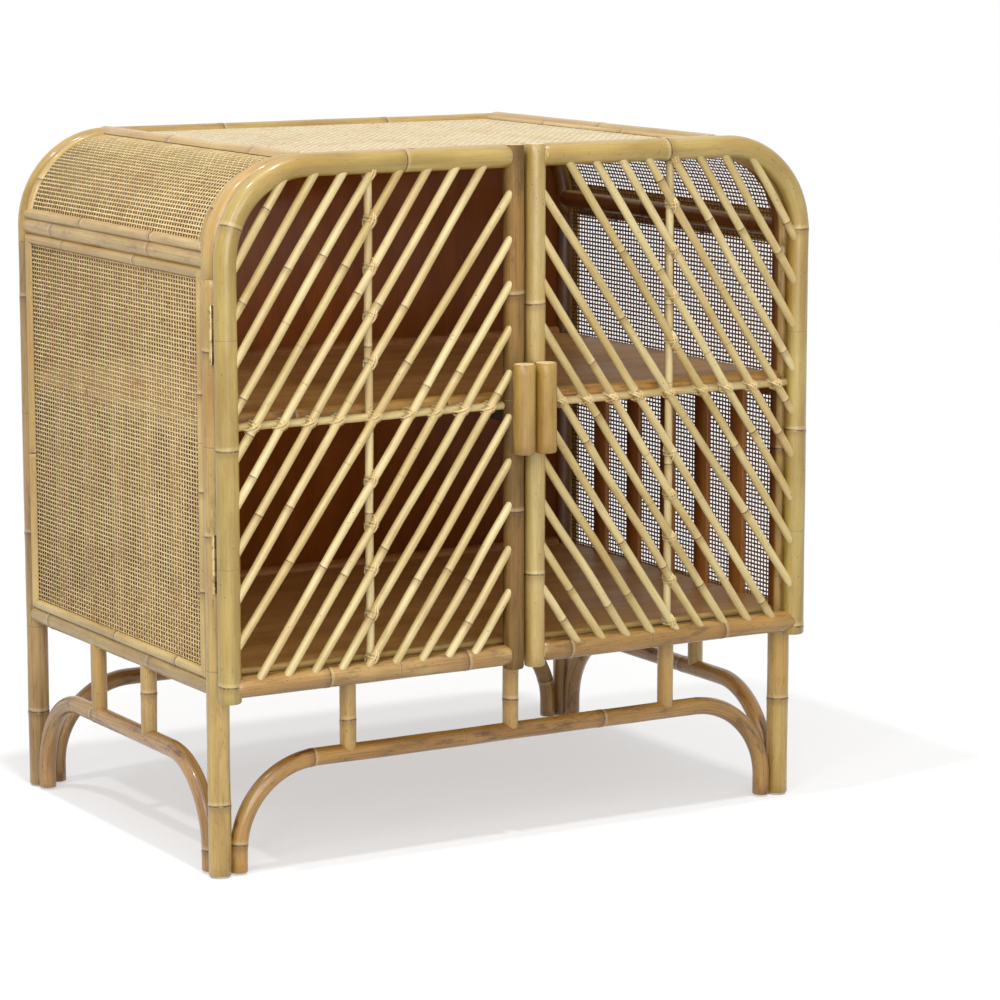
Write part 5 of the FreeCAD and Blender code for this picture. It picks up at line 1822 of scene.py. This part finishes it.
@functools.cache
def lashing_tree() -> bpy.types.NodeTree:
    """A crossed lashing of peel on each point, turned by the point's attribute turn.

    One pair of loops is long and the other short, as the two ways across a joint are.

    Returns:
        The geometry tree.
    """
    graph, take, end = new_group(
        "peel_lashings", "GeometryNodeTree",
        {"Geometry": (GEOMETRY, None), "Long": (FLOAT, 0.0122), "Short": (FLOAT, 0.0076),
         "Depth": (FLOAT, 0.0123), "Peel": (FLOAT, 0.0031), "Thickness": (FLOAT, 0.0014),
         "Seed": (INTEGER, 1), "Material": (MATERIAL, None)},
        {"Geometry": GEOMETRY})
    spread, crossing, unevenness = 0.62, 0.07, 0.1
    loops = graph.add("GeometryNodeJoinGeometry")
    for reach, turn in (("Long", 0.0), ("Short", math.pi / 2)):
        for way in (-1, 1):
            ring = graph.first("GeometryNodeCurvePrimitiveCircle",
                               {"Resolution": 22, "Radius": 1.0}, mode="RADIUS")
            ring = graph.first("GeometryNodeTransform", {
                "Geometry": ring, "Scale": graph.xyz(take[reach], take["Depth"], 1.0),
                "Translation": graph.xyz(0.0, 0.0, graph.times(take["Peel"], way * spread))})
            ring = graph.first("GeometryNodeTransform", {
                "Geometry": ring, "Rotation": (0.0, turn + way * crossing, 0.0)})
            graph.tree.links.new(ring, loops.inputs[0])
    skin = graph.first("GeometryNodeCurveToMesh", {
        "Curve": loops.outputs[0],
        "Profile Curve": graph.section(6, take["Thickness"], take["Peel"])})
    skin = graph.store(skin, "grain", graph.first("GeometryNodeInputPosition"), "FLOAT_VECTOR")
    skin = graph.store(skin, "ring", FAR_RING)
    turn = graph.first("GeometryNodeInputNamedAttribute", {"Name": "turn"}, data_type="FLOAT")
    lot = {"Seed": take["Seed"], "ID": graph.first("GeometryNodeInputIndex")}
    angle = graph.math("ADD", turn, graph.chance({**lot, 2: -unevenness, 3: unevenness}))
    knots = graph.first("GeometryNodeInstanceOnPoints", {
        "Points": take["Geometry"], "Instance": skin, "Rotation": graph.xyz(0.0, angle)})
    knots = graph.store(knots, "tone", graph.chance({**lot, 2: -1.0, 3: 1.0}), domain="INSTANCE")
    return finish_group(graph, end, graph.dressed(knots, take["Material"]))


@dataclass
class Door:
    """One door: a bent pole, an inner stile, a rail, slanting canes, lashings and a handle."""

    side: str
    sign: int
    half_width: float = 440.0
    plane: float = -293.5
    inner_stile: float = 16.5
    bottom: float = 257.0
    top: float = 924.0
    bend: float = 120.0
    packed_cane_dia: float = 10.0
    cane_dia: float = 11.5
    cross_dia: float = 11.0
    cross_bury: float = 4.0
    cross_ring_shift: float = 14.0
    pole_dia: float = 30.0
    thin_dia: float = 28.0
    pole_bevel: float = 1.6
    handle_bevel: float = 1.8
    joint_margin: float = 16.0
    joint_span: tuple[float, float] = (0.03, 0.97)
    first_ring: tuple[float, float] = (30.0, 200.0)
    ring_spacing: tuple[float, float] = (190.0, 400.0)
    last_ring: float = 25.0
    crossbar_height: float = 594.0
    upright_x: float = 232.0
    inner_ends: tuple[float, float] = (99.0, 37.0)
    outer_ends: tuple[float, float] = (41.0, 142.0)
    bottom_ends: tuple[float, float] = (34.0, 70.0)
    top_ends: tuple[float, float] = (92.0, 42.0)
    inner_count: int = 10
    outer_count: int = 9
    rings: Mapping[str, Sequence[Ring]] = field(default_factory=lambda: {
        "hoop_left": (("z", 261), ("z", 567), ("z", 848), ("x", -184)),
        "hoop_right": (("z", 249), ("z", 528), ("z", 808), ("x", 222)),
        "stile_left": (("z", 452), ("z", 742)),
        "stile_right": (("z", 363), ("z", 728)),
        "rail_left": (("x", -300), ("x", -92)),
        "rail_right": (("x", 67), ("x", 318)),
    })

    @property
    def body(self) -> Body:
        """The body that the door's pieces ride on."""
        return DOOR_BODY[self.side]

    def build(self) -> None:
        """Build the whole door."""
        self.frame_poles()
        self.canes()
        self.cross_members()
        self.lashings()
        self.handle()

    def frame_poles(self) -> None:
        """The bent pole, the inner stile and the bottom rail."""
        outer, inner = self.sign * self.half_width, self.sign * self.inner_stile
        hoop, stile, rail = (room(f"door_{part}_{self.side}") for part in ("hoop", "stile", "rail"))
        reach = hoop.high[0] if self.sign < 0 else hoop.low[0]
        y = self.plane
        thin = Outline.disc(self.thin_dia)
        for part, pole, finish in (
                ("hoop", Pole(((outer, y, hoop.low[2]), (outer, y, self.top), (reach, y, self.top)),
                              Y, Outline.disc(self.pole_dia), self.bend, self.rings_of("hoop"),
                              bevel=self.pole_bevel), DOOR_POLE),
                ("stile", Pole(((inner, y, stile.low[2]), (inner, y, stile.high[2])), X, thin,
                               rings=self.rings_of("stile"), bevel=self.pole_bevel),
                 STILE_GOLD if self.sign < 0 else STILE_PALE),
                ("rail", Pole(((rail.low[0], y, self.bottom), (rail.high[0], y, self.bottom)), Z,
                              thin, rings=self.rings_of("rail")), DOOR_RAIL)):
            single(f"door_{part}_{self.side}", pole, self.body, finish)

    def rings_of(self, part: str) -> Sequence[Ring]:
        """The growth rings of the hoop, the stile or the rail."""
        return self.rings[f"{part}_{self.side}"]

    def cane_ends(self) -> list[tuple[np.ndarray, np.ndarray]]:
        """Where the canes start and end, on the centre lines of the poles.

        Returns:
            The foot and top of each cane, as x and z.
        """
        span = self.half_width - self.inner_stile
        inner = np.linspace(self.bottom + self.inner_ends[0], self.top - self.inner_ends[1],
                            self.inner_count)
        outer = np.linspace(self.bottom + self.outer_ends[0], self.top - self.outer_ends[1],
                            self.outer_count)
        below = np.linspace(self.bottom_ends[0], span - self.bottom_ends[1], self.inner_count - 1)
        above = np.linspace(self.top_ends[0], span - self.top_ends[1], self.outer_count - 1)
        feet = [(x, self.bottom) for x in below] + [(0.0, z) for z in outer]
        tops = [(span, z) for z in inner[-2::-1]] + [(span, inner[-1])] \
            + [(x, self.top) for x in above[::-1]]
        return [tuple(np.array((self.sign * (self.half_width - x), z)) for x, z in ends)
                for ends in zip(feet, tops)]

    def canes(self) -> None:
        """The slanting canes, a little crooked, each with rings of its own."""
        node = f"door_canes_{self.side}"
        shape = Shape(seed_of(node))
        y = self.plane - self.packed_cane_dia / 2
        for foot, top in self.cane_ends():
            start, end = np.array((foot[0], y, foot[1])), np.array((top[0], y, top[1]))
            length = np.linalg.norm(end - start)
            spacing = shape.dice.uniform(*self.ring_spacing)
            places = np.arange(shape.dice.uniform(*self.first_ring), length - self.last_ring,
                               spacing)
            rings = [("z", float(start[2] + (end[2] - start[2]) * place / length))
                     for place in places]
            shape.pole(Pole((start, end), Y, Outline.disc(self.cane_dia, 14), rings=rings,
                            wander=2.2, step=16))
        shape.piece(f"{node}_slanting", self.body, DOOR_CANE, (node,))

    def cross_members(self) -> None:
        """The crossbar and the upright behind the canes."""
        for node, axis in ((f"door_crossbar_{self.side}", 0), (f"door_upright_{self.side}", 2)):
            space = room(node)
            start, end = space.middle.copy(), space.middle.copy()
            start[axis] = space.low[axis] - self.cross_bury
            end[axis] = space.high[axis] + self.cross_bury
            thirds = np.linspace(start[axis], end[axis], 4)[1:-1]
            rings = [("xyz"[axis], float(value))
                     for value in thirds + self.cross_ring_shift * self.sign]
            pole = Pole((start, end), Y, Outline.disc(self.cross_dia, 14), rings=rings,
                        wander=1.2, step=16)
            single(node, pole, self.body, DOOR_CANE, "cane")

    def crossings(self) -> list[tuple[float, float, float]]:
        """Where canes cross the crossbar or the upright, and how each joint is turned.

        Returns:
            x, z and an angle for each joint.
        """
        found = []
        least, most = self.joint_span
        for foot, top in self.cane_ends():
            run, rise = top - foot
            lean = math.atan2(rise, run)
            share = (self.crossbar_height - foot[1]) / rise
            if least < share < most:
                found.append((foot[0] + share * run, self.crossbar_height, lean / 2
                              if self.sign < 0 else (lean + math.pi) / 2))
            share = (self.sign * self.upright_x - foot[0]) / run
            height = foot[1] + share * rise
            clear = abs(height - self.crossbar_height) > self.joint_margin
            if least < share < most and clear:
                found.append((self.sign * self.upright_x, height, (lean + math.pi / 2) / 2))
        return found

    def lashings(self) -> None:
        """Peel lashings where canes cross what is behind them."""
        spots = self.crossings()
        mesh = bpy.data.meshes.new(f"lashing_spots_{self.side}")
        mesh.from_pydata([(x * MM, self.plane * MM, z * MM) for x, z, _ in spots], [], [])
        mesh.attributes.new("turn", "FLOAT", "POINT").data.foreach_set(
            "value", [-turn for _, _, turn in spots])
        name = f"door_lashings_{self.side}"
        piece = grow(name, lashing_tree(), {"Seed": seed_of(name),
                                            "Material": LASHING.material()}, mesh)
        dress(piece, self.body, LASHING)

    def handle(self) -> None:
        """A short upright pole in front of the inner stile."""
        node = f"door_handle_{self.side}"
        space = room(node)
        x, y = self.sign * self.inner_stile, space.low[1] + self.pole_dia / 2
        pole = Pole(((x, y, space.low[2]), (x, y, space.high[2])), X,
                    Outline.disc(self.pole_dia, 32), bevel=self.handle_bevel, wander=0.0)
        single(node, pole, self.body, HANDLE_POLE)


# ---- the studio ----


@dataclass(frozen=True)
class Lamp:
    """A sun or a softbox: its strength, where it points, and where it is or how soft it is."""

    name: str
    kind: str
    strength: float
    way: tuple[float, float, float]
    place: tuple[float, float, float] = (0.0, 0.0, 3.0)
    size: tuple[float, float] = (1.0, 1.0)
    blur: float = 0.0

    def hang(self, scene: bpy.types.Scene) -> None:
        """Add the lamp, unseen by the camera itself.

        Args:
            scene: The scene that it lights.
        """
        light = bpy.data.lights.new(self.name, self.kind)
        light.energy = self.strength
        if self.kind == "SUN":
            light.angle = math.radians(self.blur)
        else:
            light.shape = "RECTANGLE"
            light.size, light.size_y = self.size
        lamp = bpy.data.objects.new(self.name, light)
        lamp.location = self.place
        lamp.rotation_mode = "QUATERNION"
        lamp.rotation_quaternion = Vector(self.way).to_track_quat("-Z", "Y")
        lamp.visible_camera = False
        scene.collection.objects.link(lamp)


def shows_background(graph: Graph) -> Socket:
    """Find the rays that see the background: from the camera, off gloss and through glass.

    Args:
        graph: The tree to write into.

    Returns:
        1 for such a ray and 0 for others.
    """
    path = graph.add("ShaderNodeLightPath").outputs
    seen = graph.math("MAXIMUM", path["Is Camera Ray"], path["Is Glossy Ray"])
    return graph.math("MAXIMUM", seen, path["Is Transmission Ray"])


@dataclass
class Studio:
    """A white floor, an even light from above and soft light from the front left."""

    target: tuple[float, float, float] = (0.1552, 0.0315, 0.4050)
    back: tuple[float, float, float] = (-0.50254, -0.84863, 0.16517)
    distance: float = 5.2904
    lens: float = 132.97
    sensor: float = 36.0
    clip_end: float = 200.0
    floor_size: float = 90.0
    floor_shade: float = 0.46
    floor_glow: float = 0.49
    world_light: float = 0.52
    lamps: tuple[Lamp, ...] = (
        Lamp("studio_top", "SUN", 1.2, (0.02, 0.21, -1.0), blur=3.5),
        Lamp("studio_side", "SUN", 0.75, (0.42, 0.07, -0.9), blur=3.0),
        Lamp("studio_front", "AREA", 50.0, (0.42, 0.84, -0.36), (-1.6, -3.4, 2.0), (2.4, 1.8)),
        Lamp("studio_low", "AREA", 24.0, (0.3, 0.95, -0.06), (-1.1, -3.9, 0.75), (2.2, 1.0)),
        Lamp("studio_strip", "AREA", 24.0, (0.62, 0.56, -0.55), (-2.5, -2.3, 2.6), (0.5, 1.6)))

    def build(self) -> None:
        """Set the floor, the world, the lights and the camera."""
        scene = bpy.context.scene
        scene.view_settings.view_transform = "Standard"
        self.floor()
        self.world(scene)
        for lamp in self.lamps:
            lamp.hang(scene)
        self.camera(scene)

    def floor(self) -> None:
        """A pale floor that shows white where it is lit, and keeps shadows."""
        half = self.floor_size / 2
        mesh = bpy.data.meshes.new("studio_floor")
        mesh.from_pydata([(-half, -half, 0), (half, -half, 0), (half, half, 0), (-half, half, 0)],
                         [], [(0, 1, 2, 3)])
        made = bpy.data.materials.new("studio_floor")
        graph = emptied(made)
        matt = graph.add("ShaderNodeBsdfDiffuse", {"Color": (*[self.floor_shade] * 3, 1.0)})
        glow = graph.add("ShaderNodeEmission", {
            "Strength": graph.times(shows_background(graph), self.floor_glow)})
        both = graph.add("ShaderNodeAddShader", {0: matt.outputs[0], 1: glow.outputs[0]})
        graph.add("ShaderNodeOutputMaterial", {"Surface": both.outputs[0]})
        mesh.materials.append(made)
        floor = bpy.data.objects.new("studio_floor", mesh)
        bpy.context.scene.collection.objects.link(floor)

    def world(self, scene: bpy.types.Scene) -> None:
        """Even light, and pure white where the camera or a reflection sees it.

        Args:
            scene: The scene that it is set in.
        """
        world = bpy.data.worlds.new("studio")
        scene.world = world
        graph = emptied(world)
        strength = graph.ramp(shows_background(graph), 0.0, 1.0, self.world_light, 1.0)
        shine = graph.add("ShaderNodeBackground", {"Color": (1, 1, 1, 1), "Strength": strength})
        graph.add("ShaderNodeOutputWorld", {"Surface": shine.outputs[0]})

    def camera(self, scene: bpy.types.Scene) -> None:
        """A long lens from the front left, a little above.

        Args:
            scene: The scene that it is set in.
        """
        lens = bpy.data.cameras.new("studio_camera")
        lens.sensor_width = self.sensor
        lens.lens = self.lens
        lens.clip_end = self.clip_end
        seat = bpy.data.objects.new("studio_camera", lens)
        back = Vector(self.back).normalized()
        seat.location = Vector(self.target) + back * self.distance
        seat.rotation_mode = "QUATERNION"
        seat.rotation_quaternion = (-back).to_track_quat("-Z", "Y")
        scene.collection.objects.link(seat)
        scene.camera = seat


def main() -> None:
    """Build every sub-assembly in order, then the studio."""
    logging.basicConfig(level=logging.INFO, format="%(message)s")
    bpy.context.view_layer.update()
    Case().build()
    Trim().build()
    Webbing().build()
    Boards().build()
    Hinges().build()
    for side, sign in SIDES:
        Door(side, sign).build()
    Studio().build()
    bpy.context.view_layer.update()


if __name__ == "__main__":
    main()
